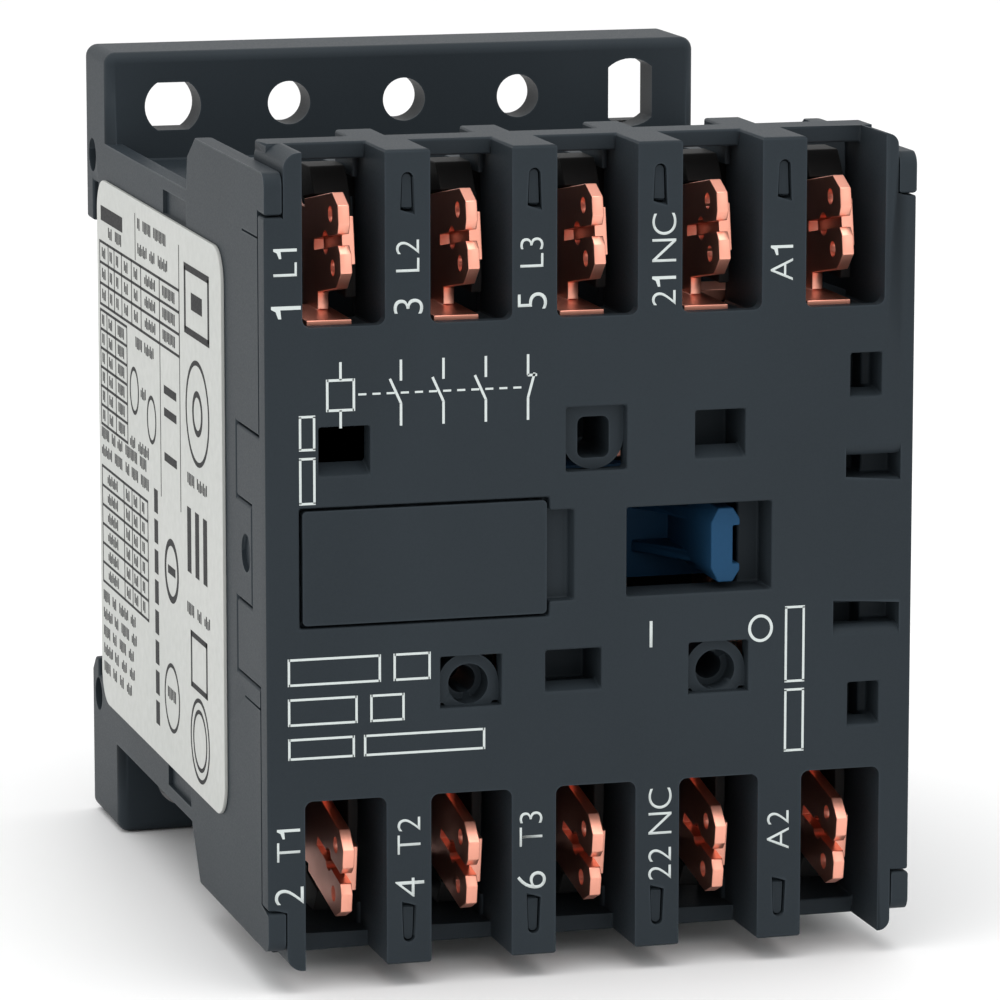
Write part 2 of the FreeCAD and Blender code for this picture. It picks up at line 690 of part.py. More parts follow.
def slot_window(x0, x1, z0, z1, side):
    """A wide low opening whose edge away from the middle is rounded."""
    high = max(abs(z0), abs(z1))
    low = min(abs(z0), abs(z1))
    hole = box(x0, x1, FRONT - 1, FRONT + WALL + 1, low, high - SLOT_ROUND)
    corner = box(x0, x1, FRONT - 0.01, FRONT + SLOT_ROUND, high - SLOT_ROUND - 0.01, high)
    corner = corner.cut(rod_x(x0 - 1, x1 + 1, FRONT + SLOT_ROUND, high, SLOT_ROUND))
    return mirror_z(hole.fuse(corner), side)


def divider_slot(x):
    """The narrow arched recess in the end of a divider, with a tongue inside it."""
    bottom = HALF_DIVIDER - ARCH_TOP
    hole = arch(x, bottom, HALF_DIVIDER - ARCH_BOTTOM, ARCH_WIDTH / 2, FRONT - 1, FRONT + ARCH_DEPTH)
    tongue = arch(x, bottom + ARCH_GAP, HALF_DIVIDER - ARCH_BOTTOM - ARCH_GAP,
                  ARCH_WIDTH / 2 - ARCH_GAP, FRONT + ARCH_TONGUE, FRONT + ARCH_DEPTH)
    return hole.cut(tongue)


def arch(x, z0, z1, half, y0, y1):
    """An upright plate with a round top, a little narrower towards the top."""
    top_r = ARCH_NARROWING * half
    shoulder = z1 - top_r
    post = outline_y([(x - half, z0), (x + half, z0), (x + top_r, shoulder), (x - top_r, shoulder)], y0, y1)
    return post.fuse(rod_y(x, y0, y1, z1 - top_r, top_r))


def marker_pocket():
    """The recess for the marker plate and the pry slot beside it."""
    pocket = box(MARKER_LEFT, MARKER_RIGHT, FRONT - 1, FRONT + MARKER_THICK + CLIP_PLAY,
                 MARKER_BOTTOM, MARKER_TOP)
    low, high = PRY_INSET
    pry = outline_z(
        [(MARKER_RIGHT - PRY_BACK, FRONT - BITE), (MARKER_RIGHT + PRY_REACH, FRONT - BITE),
         (MARKER_RIGHT + PRY_FLOOR_REACH, FRONT + PRY_DEPTH), (MARKER_RIGHT - PRY_BACK, FRONT + PRY_DEPTH)],
        MARKER_BOTTOM + low, MARKER_TOP - high)
    return pocket.fuse(pry)


def marker_floor():
    """The wall behind the marker plate, with slots for its clips."""
    y0 = FRONT + MARKER_THICK + CLIP_PLAY
    return box(MARKER_LEFT - FLOOR_RIM, MARKER_RIGHT + PRY_REACH + FLOOR_RIM, y0 + BITE,
               y0 + BITE + MARKER_FLOOR, MARKER_BOTTOM - FLOOR_RIM, MARKER_TOP + FLOOR_RIM)


def marker_slots():
    """The two slots behind the marker plate that its clips go through."""
    z = (MARKER_TOP + MARKER_BOTTOM) / 2
    half_x = MARKER_CLIP / 2 + CLIP_PLAY
    half_z = MARKER_CLIP_HEIGHT / 2 + CLIP_PLAY
    y1 = FRONT + MARKER_THICK + MARKER_CLIP_REACH + CLIP_PLAY
    return [box(x - half_x, x + half_x, FRONT, y1 + 1, z - half_z, z + half_z)
            for x in marker_clips()]


# ---------------------------------------------------------------- middle plate
def plate_x(pole):
    """Left face of a terminal plate."""
    return pole_x(pole) + TAB_SHIFT - TAB_THICK / 2


def leg_x(pole):
    """Left face of the terminal's inner leg, beside the contacts."""
    return plate_x(pole) + (AUX_JOG if pole == AUX_POLE else 0)


def contact_base():
    """The plate between magnet and contacts, with pole barriers and terminal holders."""
    y1 = BLOCK_BACK
    plate = box(-COVER_HALF, COVER_HALF, PLATE_FRONT, y1, -PLATE_HALF, PLATE_HALF)
    arm_left = ARMATURE_RIGHT - TRAVEL - CARRIER_PLAY
    arm_right = ARMATURE_RIGHT + ARM_THICK + CARRIER_PLAY
    arm_z = ARM_HALF + CARRIER_PLAY
    plate = plate.cut(box(arm_left, arm_right, PLATE_FRONT - 1, y1 + 1, -arm_z, arm_z))
    pieces = [plate]
    for side in (1, -1):
        for pole in range(POLES - 1):
            x = pole_x(pole) + POLE_PITCH / 2
            wall = box(x - BARRIER / 2, x + BARRIER / 2, PLATE_FRONT - BARRIER_DEPTH, PLATE_FRONT + BITE,
                       BRIDGE_HALF + BARRIER_INNER, PLATE_HALF)
            pieces.append(mirror_z(wall, side))
        for pole in range(POLES):
            low, high = AUX_HOLDER_Z if pole == AUX_POLE else HOLDER_Z
            x0 = leg_x(pole) - HOLDER_WALL
            x1 = leg_x(pole) + TAB_THICK + HOLDER_WALL
            holder = box(x0, x1, LEG_BACK - HOLDER_REACH, PLATE_FRONT + BITE, low, high)
            slot = box(leg_x(pole) - HOLDER_PLAY, leg_x(pole) + TAB_THICK + HOLDER_PLAY,
                       LEG_BACK - HOLDER_REACH - 1, LEG_BACK, low - 1, high + 1)
            pieces.append(mirror_z(holder.cut(slot), side))
        track = box(-COVER_HALF + TRACK_LEFT, arm_left - TRACK_RIGHT, CARRIER_Y1 + SLIDE_PLAY,
                    PLATE_FRONT + BITE, TRACK_INNER, CARRIER_HALF)
        pieces.append(mirror_z(track, side))
        clamp = box(CORE_LEFT + CLAMP_X[0], CORE_LEFT + CLAMP_X[1], BLOCK_BACK - BITE, CORE_FRONT, *CLAMP_Z)
        pieces.append(mirror_z(clamp, side))
    base = pieces[0].fuse(pieces[1:])
    for side in (1, -1):
        x = plate_x(COIL_POLE) + TAB_THICK / 2
        base = base.cut(rod_y(x, PLATE_FRONT - 1, y1 + 1, side * LEAD_Z, LEAD_R + LEAD_PLAY))
    return base.removeSplitter()


# ---------------------------------------------------------------- terminals
def tab_point(back, across):
    """(y, z) of a point on the tilted tabs: back from the tips, across from the slot's middle."""
    cos_t = math.cos(math.radians(TAB_TILT))
    sin_t = math.sin(math.radians(TAB_TILT))
    tip_y = FRONT + TAB_SETBACK
    return (tip_y + back * cos_t + across * sin_t, TAB_HEIGHT - back * sin_t + across * cos_t)


def blade(x0, x1):
    """The outer end of a terminal: two tabs tilted outwards, with locking holes."""
    half_gap = TAB_GAP / 2
    edge = half_gap + TAB_WIDTH
    half = [
        (BLADE_LENGTH, edge), (TIP_TAPER, edge), (0, edge - TIP_STEP),
        (0, half_gap + ROOT_STEP), (ROOT_TAPER, half_gap), (SLOT_DEPTH, half_gap),
    ]
    other = [(back, -across) for back, across in reversed(half)]
    shape = outline_x([tab_point(*point) for point in half + other], x0, x1)
    holes = [(TAB_HOLE_BACK, half_gap + TAB_WIDTH / 2, TAB_HOLE_R),
             (TAB_HOLE_BACK, -half_gap - TAB_WIDTH / 2, TAB_HOLE_R),
             (SLOT_HOLE_BACK, 0, SLOT_HOLE_R)]
    for back, across, radius in holes:
        y, z = tab_point(back, across)
        shape = shape.cut(rod_x(x0 - 1, x1 + 1, y, z, radius))
    return shape


def terminal(pole, side):
    """A copper terminal: tabs, foot on the chamber floor and inner leg."""
    x0 = plate_x(pole)
    x1 = x0 + TAB_THICK
    foot_z = CHAMBER_FLOOR + TAB_THICK
    pieces = [blade(x0, x1)]
    backing = [(BACKING_FRONT, -BACKING_HALF), (BACKING_FRONT, BACKING_HALF),
               (BLADE_LENGTH, BACKING_HALF), (BLADE_LENGTH, -BACKING_HALF)]
    pieces.append(outline_x([tab_point(*point) for point in backing], x1 - BITE, x1 + BACKING))
    pieces.append(box(x0, x1, FRONT + POST_SETBACK, LEG_FRONT + BITE, foot_z - BITE, foot_z + POST_HEIGHT))
    pieces.append(box(pole_x(pole) - FOOT_LEFT, pole_x(pole) + FOOT_RIGHT,
                      FRONT + FOOT_SETBACK, LEG_FRONT + TAB_THICK, CHAMBER_FLOOR, foot_z))
    if pole == COIL_POLE:
        pieces.append(box(x0, x1, LEG_FRONT, LEG_BACK, CHAMBER_FLOOR, LEG_TOP))
    elif pole == AUX_POLE:
        jog_back = PLATE_FRONT - BARRIER_DEPTH - JOG_PLAY
        leg0 = leg_x(pole)
        pieces.append(box(x0, x1, LEG_FRONT, jog_back, CHAMBER_FLOOR, LEG_TOP))
        pieces.append(box(x0, leg0 + TAB_THICK, LEG_FRONT, jog_back, CHAMBER_FLOOR, foot_z))
        pieces.append(box(leg0, leg0 + TAB_THICK, LEG_FRONT, LEG_BACK, LEG_INNER, foot_z))
    else:
        pieces.append(box(x0, x1, LEG_FRONT, LEG_BACK, LEG_INNER, LEG_TOP))
    return mirror_z(join(pieces), side)


def terminal_guards(side):
    """A comb of curved insulating walls, one beside and above each blade."""
    front = FRONT + GUARD_SETBACK
    over = TAB_GAP / 2 + TAB_WIDTH + GUARD_GAP
    blade_room = [(-1, -over), (-1, over), (BLADE_LENGTH, over), (BLADE_LENGTH, -3 * over)]
    pieces = []
    for pole in range(POLES):
        x0 = plate_x(pole) - GUARD_LEFT
        x1 = plate_x(pole) + TAB_THICK + GUARD_RIGHT
        start, middle, end = [Vector(x0, front + back, z) for back, z in GUARD_ARC]
        low, high = [Vector(x0, front + back, z) for back, z in GUARD_BACK]
        edges = [Part.Arc(start, middle, end).toShape(), Part.makeLine(end, low),
                 Part.makeLine(low, high), Part.makeLine(high, start)]
        wall = Part.Face(Part.Wire(edges)).extrude(Vector(x1 - x0, 0, 0))
        wall = wall.cut(outline_x([tab_point(*corner) for corner in blade_room],
                                  x0 - 1, plate_x(pole) + TAB_THICK + BACKING + GUARD_GAP))
        wall = wall.cut(box(x0 - 1, plate_x(pole) + TAB_THICK + GUARD_GAP, LEG_FRONT - GUARD_GAP, LEG_BACK,
                            CHAMBER_FLOOR, LEG_TOP + GUARD_GAP))
        pieces.append(wall)
    strip_y = PLATE_FRONT - BARRIER_DEPTH
    pieces.append(box(plate_x(0), plate_x(POLES - 1) + TAB_THICK + GUARD_RIGHT,
                      strip_y - STRIP_DEPTH, strip_y, *STRIP_Z))
    return mirror_z(join(pieces), side)


# ---------------------------------------------------------------- contacts
def tip(x0, side):
    """A silver contact tip with rounded corners."""
    half = TIP_SIZE / 2
    shape = box(x0, x0 + TIP_THICK, CONTACT_Y - half, CONTACT_Y + half, TIP_Z - half, TIP_Z + half)
    return mirror_z(rounded(shape, TIP_ROUND, Vector(1, 0, 0)), side)


def fixed_tip_x(pole):
    """Left face of the fixed tips: right of a main leg, left of the auxiliary one."""
    return leg_x(pole) - TIP_THICK if pole == AUX_POLE else leg_x(pole) + TAB_THICK


def moving_tip_x(pole):
    """Left face of the moving tips with the contactor off."""
    if pole == AUX_POLE:
        return fixed_tip_x(pole) - CLOSED_GAP - TIP_THICK
    return fixed_tip_x(pole) + TIP_THICK + CONTACT_GAP


def bridge_x(pole):
    """Left face of the bridge strip with the contactor off."""
    return moving_tip_x(pole) + (-BRIDGE_THICK if pole == AUX_POLE else TIP_THICK)


def bridge(pole):
    """The strip that carries both moving tips, narrowed at its middle."""
    x0 = bridge_x(pole)
    wide = BRIDGE_WIDTH / 2
    waist = wide - BRIDGE_WAIST
    bevel = BRIDGE_CORNER
    half = [(-wide, 0), (-wide, BRIDGE_HALF - bevel), (-wide + bevel, BRIDGE_HALF),
            (wide - bevel, BRIDGE_HALF), (wide, BRIDGE_HALF - bevel), (wide, 0)]
    shape = outline_x([(CONTACT_Y + y, z) for y, z in half], x0, x0 + BRIDGE_THICK)
    shape = shape.fuse(mirror_z(shape, -1))
    for side in (1, -1):
        notch = box(x0 - 1, x0 + BRIDGE_THICK + 1, CONTACT_Y + waist, CONTACT_Y + wide + 1, *BRIDGE_NOTCH)
        shape = shape.cut(mirror_z(notch, side))
    return shape.removeSplitter()


def carrier_window(pole):
    """The slot in the carrier that a bridge and its spring stand in: left and right faces."""
    x0 = bridge_x(pole)
    x1 = x0 + BRIDGE_THICK
    if pole == AUX_POLE:
        return x0 - SPRING_LENGTH, x1 + OVERTRAVEL + SPRING_PLAY
    return x0 - SPRING_PLAY, x1 + SPRING_LENGTH


def contact_spring(pole):
    """The spring that presses a bridge against its contacts."""
    x0 = bridge_x(pole)
    if pole == AUX_POLE:
        left = x0 - SPRING_LENGTH + SPRING_PLAY
        right = x0 - SPRING_PLAY
    else:
        left = x0 + BRIDGE_THICK + SPRING_PLAY
        right = left + SPRING_LENGTH - 2 * SPRING_PLAY
    return coil_spring_x(left, right, CONTACT_Y, 0, CONTACT_SPRING_R, CONTACT_WIRE_R,
                         CONTACT_TURNS)


# ---------------------------------------------------------------- carrier
def contact_carrier():
    """The sliding bar with bridge slots, position lug, gussets and armature arm."""
    left = carrier_window(0)[0] - BAR_END
    right = ARMATURE_RIGHT + ARM_THICK
    bar = box(left, right, CARRIER_Y0, CARRIER_Y1, -CARRIER_HALF, CARRIER_HALF)
    bar = rounded(bar, BAR_ROUND, Vector(0, 1, 0))
    slot_y = BRIDGE_WIDTH / 2 + SLIDE_PLAY
    for pole in range(POLES - 1):
        x0, x1 = carrier_window(pole)
        bar = bar.cut(box(x0, x1, CONTACT_Y - slot_y, CONTACT_Y + slot_y,
                          -CARRIER_HALF - 1, CARRIER_HALF + 1))
    arm_x = ARMATURE_RIGHT
    pieces = [bar]
    pieces.append(box(arm_x, right, CARRIER_Y1 - BITE, CORE_REAR - ARM_END, -ARM_HALF, ARM_HALF))
    pieces.append(box(arm_x, right, COIL_Y - ARM_BEAM_HALF, COIL_Y + ARM_BEAM_HALF,
                      -RETURN_Z - ARM_BEAM_REACH, RETURN_Z + ARM_BEAM_REACH))
    x0 = LUG_X
    x1 = LUG_X + LUG_WIDTH
    half = [(x0, LUG_HALF - LUG_LEFT_SLOPE), (x0 + LUG_ROUND, LUG_HALF), (x1 - LUG_ROUND, LUG_HALF),
            (x1, LUG_HALF - LUG_RIGHT_SLOPE), (x1, LUG_HALF - LUG_NOTCH_HALF),
            (x1 - LUG_NOTCH, LUG_HALF - LUG_NOTCH_HALF)]
    points = half + [(x, -z) for x, z in reversed(half)]
    lug = outline_y([(x, z + LUG_Z) for x, z in points], FRONT + LUG_SETBACK, CARRIER_Y0 + BITE)
    pieces.append(lug)
    for height in GUSSETS_Z:
        gusset = outline_z([(x0 + GUSSET_LIP, FRONT + GUSSET_SETBACK), (x0 + GUSSET_LIP, CARRIER_Y0 + BITE),
                            (x0 - GUSSET_REACH, CARRIER_Y0 + BITE),
                            (x0 - GUSSET_REACH, CARRIER_Y0 - GUSSET_LIP)],
                           LUG_Z + height, LUG_Z + height + GUSSET_THICK)
        pieces.append(gusset)
    carrier = pieces[0].fuse(pieces[1:])
    carrier = carrier.cut(rod_x(arm_x - 1, right + 1, COIL_Y, 0, PIN_R))
    return carrier.removeSplitter()


# ---------------------------------------------------------------- magnet
def e_shape(back_x, face_x, back_wide):
    """A laminated E-piece: a back and three legs reaching to the pole faces."""
    sign = 1 if face_x > back_x else -1
    inner = back_x + sign * back_wide
    points = [
        (back_x, SIDE_LEG_OUT), (face_x, SIDE_LEG_OUT), (face_x, SIDE_LEG_IN), (inner, SIDE_LEG_IN),
        (inner, LEG_HALF), (face_x, LEG_HALF),
    ]
    ring = points + [(x, -z) for x, z in reversed(points)]
    return outline_y(ring, CORE_FRONT, CORE_REAR)


def fixed_core():
    """The fixed E-core with a groove across each side pole face for a shading ring."""
    core = e_shape(CORE_LEFT, POLE_FACE, CORE_BACK)
    z0 = SIDE_LEG_IN + RING_Z
    for side in (1, -1):
        groove = box(POLE_FACE - RING_WIDE - RING_SETBACK, POLE_FACE + 1, CORE_FRONT - 1, CORE_REAR + 1,
                     z0, z0 + RING_THICK)
        core = core.cut(mirror_z(groove, side))
    return core


def shading_ring(side):
    """A closed copper ring round the outer part of a side pole face."""
    z0 = SIDE_LEG_IN + RING_Z
    x1 = POLE_FACE - RING_SETBACK
    outer = box(x1 - RING_WIDE, x1, CORE_FRONT - RING_THICK, CORE_REAR + RING_THICK,
                z0, SIDE_LEG_OUT + RING_THICK)
    inner = box(x1 - RING_WIDE - 1, x1 + 1, CORE_FRONT, CORE_REAR, z0 + RING_THICK, SIDE_LEG_OUT)
    return mirror_z(outer.cut(inner), side)


def core_pad(side):
    """A rubber pad between the fixed core and the end of the tub."""
    pad = box(-CAVITY_X, CORE_LEFT, COIL_Y - PAD_HALF, COIL_Y + PAD_HALF, *PAD_Z)
    return mirror_z(rounded(pad, PAD_ROUND, Vector(1, 0, 0)), side)


def armature():
    """The moving E-piece, riveted to the carrier's arm."""
    piece = e_shape(ARMATURE_RIGHT, POLE_FACE + POLE_REST_GAP, YOKE)
    return piece.cut(rod_x(ARMATURE_RIGHT - YOKE - 1, ARMATURE_RIGHT + 1, COIL_Y, 0, PIN_R))


def armature_pin():
    """The rivet through the armature's yoke and the carrier's arm."""
    arm_right = ARMATURE_RIGHT + ARM_THICK
    shank = rod_x(ARMATURE_RIGHT - YOKE + PIN_RECESS, arm_right, COIL_Y, 0, PIN_R)
    head = rod_x(arm_right, arm_right + PIN_HEAD_THICK, COIL_Y, 0, PIN_R + PIN_HEAD)
    return shank.fuse(head)


def ring_box(x0, x1, y_half, z_half, y_in, z_in):
    """A rectangular sleeve about the coil's axis."""
    outer = box(x0, x1, COIL_Y - y_half, COIL_Y + y_half, -z_half, z_half)
    return outer.cut(box(x0 - 1, x1 + 1, COIL_Y - y_in, COIL_Y + y_in, -z_in, z_in))


def bobbin_tube():
    """Half sizes of the bobbin's tube: inner y and z, outer y and z."""
    y_in = STACK / 2 + BOBBIN_PLAY
    z_in = LEG_HALF + BOBBIN_PLAY
    return y_in, z_in, y_in + BOBBIN_WALL, z_in + BOBBIN_WALL


def coil_bobbin():
    """The bobbin: a tube round the middle legs with a flange at each end."""
    y_in, z_in, y_out, z_out = bobbin_tube()
    pieces = [ring_box(BOBBIN_LEFT, BOBBIN_RIGHT, y_out, z_out, y_in, z_in)]
    for x0 in (BOBBIN_LEFT, BOBBIN_RIGHT - BOBBIN_FLANGE):
        x1 = x0 + BOBBIN_FLANGE
        plate = box(x0, x1, COIL_Y - BOBBIN_DEEP, CAVITY_BACK, -BOBBIN_HALF, BOBBIN_HALF)
        hole = box(x0 - 1, x1 + 1, COIL_Y - y_in, COIL_Y + y_in, -z_in, z_in)
        pieces.append(rounded(plate, PAD_ROUND, Vector(1, 0, 0)).cut(hole))
    return join(pieces)


def coil_winding():
    """The enamelled copper winding, as one body."""
    y_out, z_out = bobbin_tube()[2:]
    return ring_box(BOBBIN_LEFT + BOBBIN_FLANGE, BOBBIN_RIGHT - BOBBIN_FLANGE,
                    WINDING_Y, WINDING_Z, y_out, z_out)


def coil_tape():
    """The tape round the winding."""
    return ring_box(BOBBIN_LEFT + BOBBIN_FLANGE, BOBBIN_RIGHT - BOBBIN_FLANGE,
                    WINDING_Y + TAPE, WINDING_Z + TAPE, WINDING_Y, WINDING_Z)


def wire_path(points, radius):
    """A round wire through the points, with a ball at each bend."""
    pieces = []
    for start, end in zip(points, points[1:]):
        along = end.sub(start)
        pieces.append(Part.makeCylinder(radius, along.Length, start, along))
    for point in points[1:-1]:
        pieces.append(Part.makeSphere(radius, point))
    return pieces[0].fuse(pieces[1:]).removeSplitter()


def coil_lead(side):
    """The lead from a coil terminal to the winding."""
    x = plate_x(COIL_POLE) + TAB_THICK / 2
    y = LEG_BACK - LEAD_START
    y_in = COIL_Y - LEAD_FRONT
    top = WINDING_Z + TAPE
    landing = BOBBIN_RIGHT - LEAD_LANDING
    points = [Vector(x, y, CHAMBER_FLOOR), Vector(x, y, LEAD_Z), Vector(x, y_in, LEAD_Z),
              Vector(BOBBIN_RIGHT + LEAD_BEND, y_in, top + LEAD_RISE),
              Vector(landing, y_in, top + LEAD_RISE), Vector(landing, y_in, top)]
    return mirror_z(wire_path(points, LEAD_R), side)


def return_spring(side):
    """A spring that pushes the armature and carrier back to the right."""
    spring = coil_spring_x(RETURN_STOP + SPRING_PLAY, ARMATURE_RIGHT - SPRING_PLAY, COIL_Y, 0,
                           RETURN_R, RETURN_WIRE_R, RETURN_TURNS)
    spring.translate(Vector(0, 0, side * RETURN_Z))
    return spring


# ---------------------------------------------------------------- outside pieces
def rating_label():
    """The stiff label stuck on the left side."""
    label = box(-HALF_W - LABEL_THICK, -HALF_W, -LABEL_FRONT, -LABEL_BACK, -LABEL_HALF, LABEL_HALF)
    return rounded(label, LABEL_CORNER, Vector(1, 0, 0))


def marker_plate():
    """The snap-in marker plate with a clip near each end."""
    plate = box(MARKER_LEFT + MARKER_GAP, MARKER_RIGHT - MARKER_GAP, FRONT, FRONT + MARKER_THICK,
                MARKER_BOTTOM + MARKER_GAP, MARKER_TOP - MARKER_GAP)
    pieces = [rounded(plate, MARKER_ROUND, Vector(0, 1, 0))]
    z = (MARKER_TOP + MARKER_BOTTOM) / 2
    for x in marker_clips():
        pieces.append(box(x - MARKER_CLIP / 2, x + MARKER_CLIP / 2, FRONT + MARKER_THICK - BITE,
                          FRONT + MARKER_THICK + MARKER_CLIP_REACH,
                          z - MARKER_CLIP_HEIGHT / 2, z + MARKER_CLIP_HEIGHT / 2))
    return join(pieces)


def marker_clips():
    """Middle of each clip of the marker plate along X."""
    return MARKER_LEFT + MARKER_CLIP_INSET, MARKER_RIGHT - MARKER_CLIP_INSET


def rail_spring():
    """The bowed wire in the upper groove that presses on the rail's edge."""
    y = -(RAIL_LIP + RAIL_SEAT) / 2
    points = [Vector(-RAIL_SPRING_HALF, y, RAIL_SPRING_END), Vector(-RAIL_SPRING_BEND, y, RAIL_SPRING_BOW),
              Vector(RAIL_SPRING_BEND, y, RAIL_SPRING_BOW), Vector(RAIL_SPRING_HALF, y, RAIL_SPRING_END)]
    return wire_path(points, RAIL_WIRE_R)


# ---------------------------------------------------------------- all nodes
SIDES = {"line": 1, "load": -1}
MAIN_POLES = [pole for pole in range(POLES) if pole not in (AUX_POLE, COIL_POLE)]


def bridge_name(pole):
    """A bridge is named by its pole's number, the auxiliary one by its kind."""
    return "aux" if pole == AUX_POLE else "pole_" + str(pole + 1)


save("rear_base", [rear_base()])
save("front_cover", [front_cover()])
save("contact_base", [contact_base()])
save("rating_label", [rating_label()])
save("marker_plate", [marker_plate()])
save("rail_spring", [rail_spring()])

for row, row_side in SIDES.items():
    for main in MAIN_POLES:
        save(row + "_terminal_" + str(main + 1), [terminal(main, row_side)])
save("aux_terminal_21", [terminal(AUX_POLE, 1)])
save("aux_terminal_22", [terminal(AUX_POLE, -1)])
save("coil_terminal_a1", [terminal(COIL_POLE, 1)])
save("coil_terminal_a2", [terminal(COIL_POLE, -1)])
save("upper_terminal_guard", [terminal_guards(1)])
save("lower_terminal_guard", [terminal_guards(-1)])

switched = MAIN_POLES + [AUX_POLE]
save("fixed_contact_tips", [tip(fixed_tip_x(pole), side) for pole in switched for side in (1, -1)])
for pole in switched:
    save("bridge_" + bridge_name(pole), [bridge(pole)])
    save("bridge_tips_" + bridge_name(pole), [tip(moving_tip_x(pole), side) for side in (1, -1)])
    save("contact_spring_" + bridge_name(pole), [contact_spring(pole)])

save("contact_carrier", [contact_carrier()])
save("armature", [armature()])
save("armature_pin", [armature_pin()])
save("fixed_core", [fixed_core()])
save("shading_rings", [shading_ring(side) for side in (1, -1)])
save("core_pads", [core_pad(side) for side in (1, -1)])
save("coil_bobbin", [coil_bobbin()])
save("coil_winding", [coil_winding()])
save("coil_tape", [coil_tape()])
save("coil_lead_a1", [coil_lead(1)])
save("coil_lead_a2", [coil_lead(-1)])
save("return_springs", [return_spring(side) for side in (1, -1)])
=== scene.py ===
import json
import math

import bmesh
import bpy
from mathutils import Matrix, Vector

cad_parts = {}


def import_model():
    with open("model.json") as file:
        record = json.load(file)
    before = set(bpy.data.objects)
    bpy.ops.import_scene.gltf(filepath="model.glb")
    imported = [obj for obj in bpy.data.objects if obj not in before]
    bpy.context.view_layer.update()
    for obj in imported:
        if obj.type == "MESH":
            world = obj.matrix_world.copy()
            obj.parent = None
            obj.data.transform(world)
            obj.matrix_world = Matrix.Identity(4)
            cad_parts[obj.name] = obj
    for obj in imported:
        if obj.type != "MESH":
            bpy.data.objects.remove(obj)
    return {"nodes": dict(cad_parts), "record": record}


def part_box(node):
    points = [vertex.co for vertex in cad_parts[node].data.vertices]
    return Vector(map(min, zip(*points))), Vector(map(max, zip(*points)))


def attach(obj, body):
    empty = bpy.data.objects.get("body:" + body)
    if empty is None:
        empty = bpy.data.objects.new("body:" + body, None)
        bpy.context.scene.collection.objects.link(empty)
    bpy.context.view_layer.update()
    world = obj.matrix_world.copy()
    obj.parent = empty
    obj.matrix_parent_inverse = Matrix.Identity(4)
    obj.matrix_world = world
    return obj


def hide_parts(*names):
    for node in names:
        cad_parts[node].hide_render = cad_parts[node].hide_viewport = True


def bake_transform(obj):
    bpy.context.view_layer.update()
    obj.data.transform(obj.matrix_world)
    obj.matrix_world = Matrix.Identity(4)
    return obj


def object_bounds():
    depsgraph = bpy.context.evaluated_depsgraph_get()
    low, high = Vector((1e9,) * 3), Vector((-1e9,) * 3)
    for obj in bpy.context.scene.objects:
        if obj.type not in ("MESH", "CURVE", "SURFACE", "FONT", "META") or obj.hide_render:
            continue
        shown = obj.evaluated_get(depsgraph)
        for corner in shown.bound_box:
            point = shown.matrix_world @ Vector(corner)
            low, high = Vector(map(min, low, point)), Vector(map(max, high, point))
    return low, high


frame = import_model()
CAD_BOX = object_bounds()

MM = 0.001
RECORD = frame["record"]
NODES = frame["nodes"]
BODY_OF = {name: body for body, names in RECORD["behaviour"]["bodies"].items() for name in names}
SLOT_OF = {row["node"]: row["material_slot"] for row in RECORD["subparts"]}

# The part's box. The front wall's print lies in its front plane, the label's print in its left one.
LOW, HIGH = CAD_BOX
CENTRE = (LOW + HIGH) / 2
FRONT = LOW.y
LEFT = LOW.x
PRINT_DEPTH = 0.012 * MM


# ------------------------------------------------------------------ shader helpers
# Most of a noise's values lie in this band.
NOISE_LOW = 0.3
NOISE_HIGH = 0.7
# The product of a face's own normal and the rounded one: on flat faces, and well into an edge.
FLAT_DOT = 0.999
EDGE_DOT = 0.93
BEVEL_SAMPLES = 6


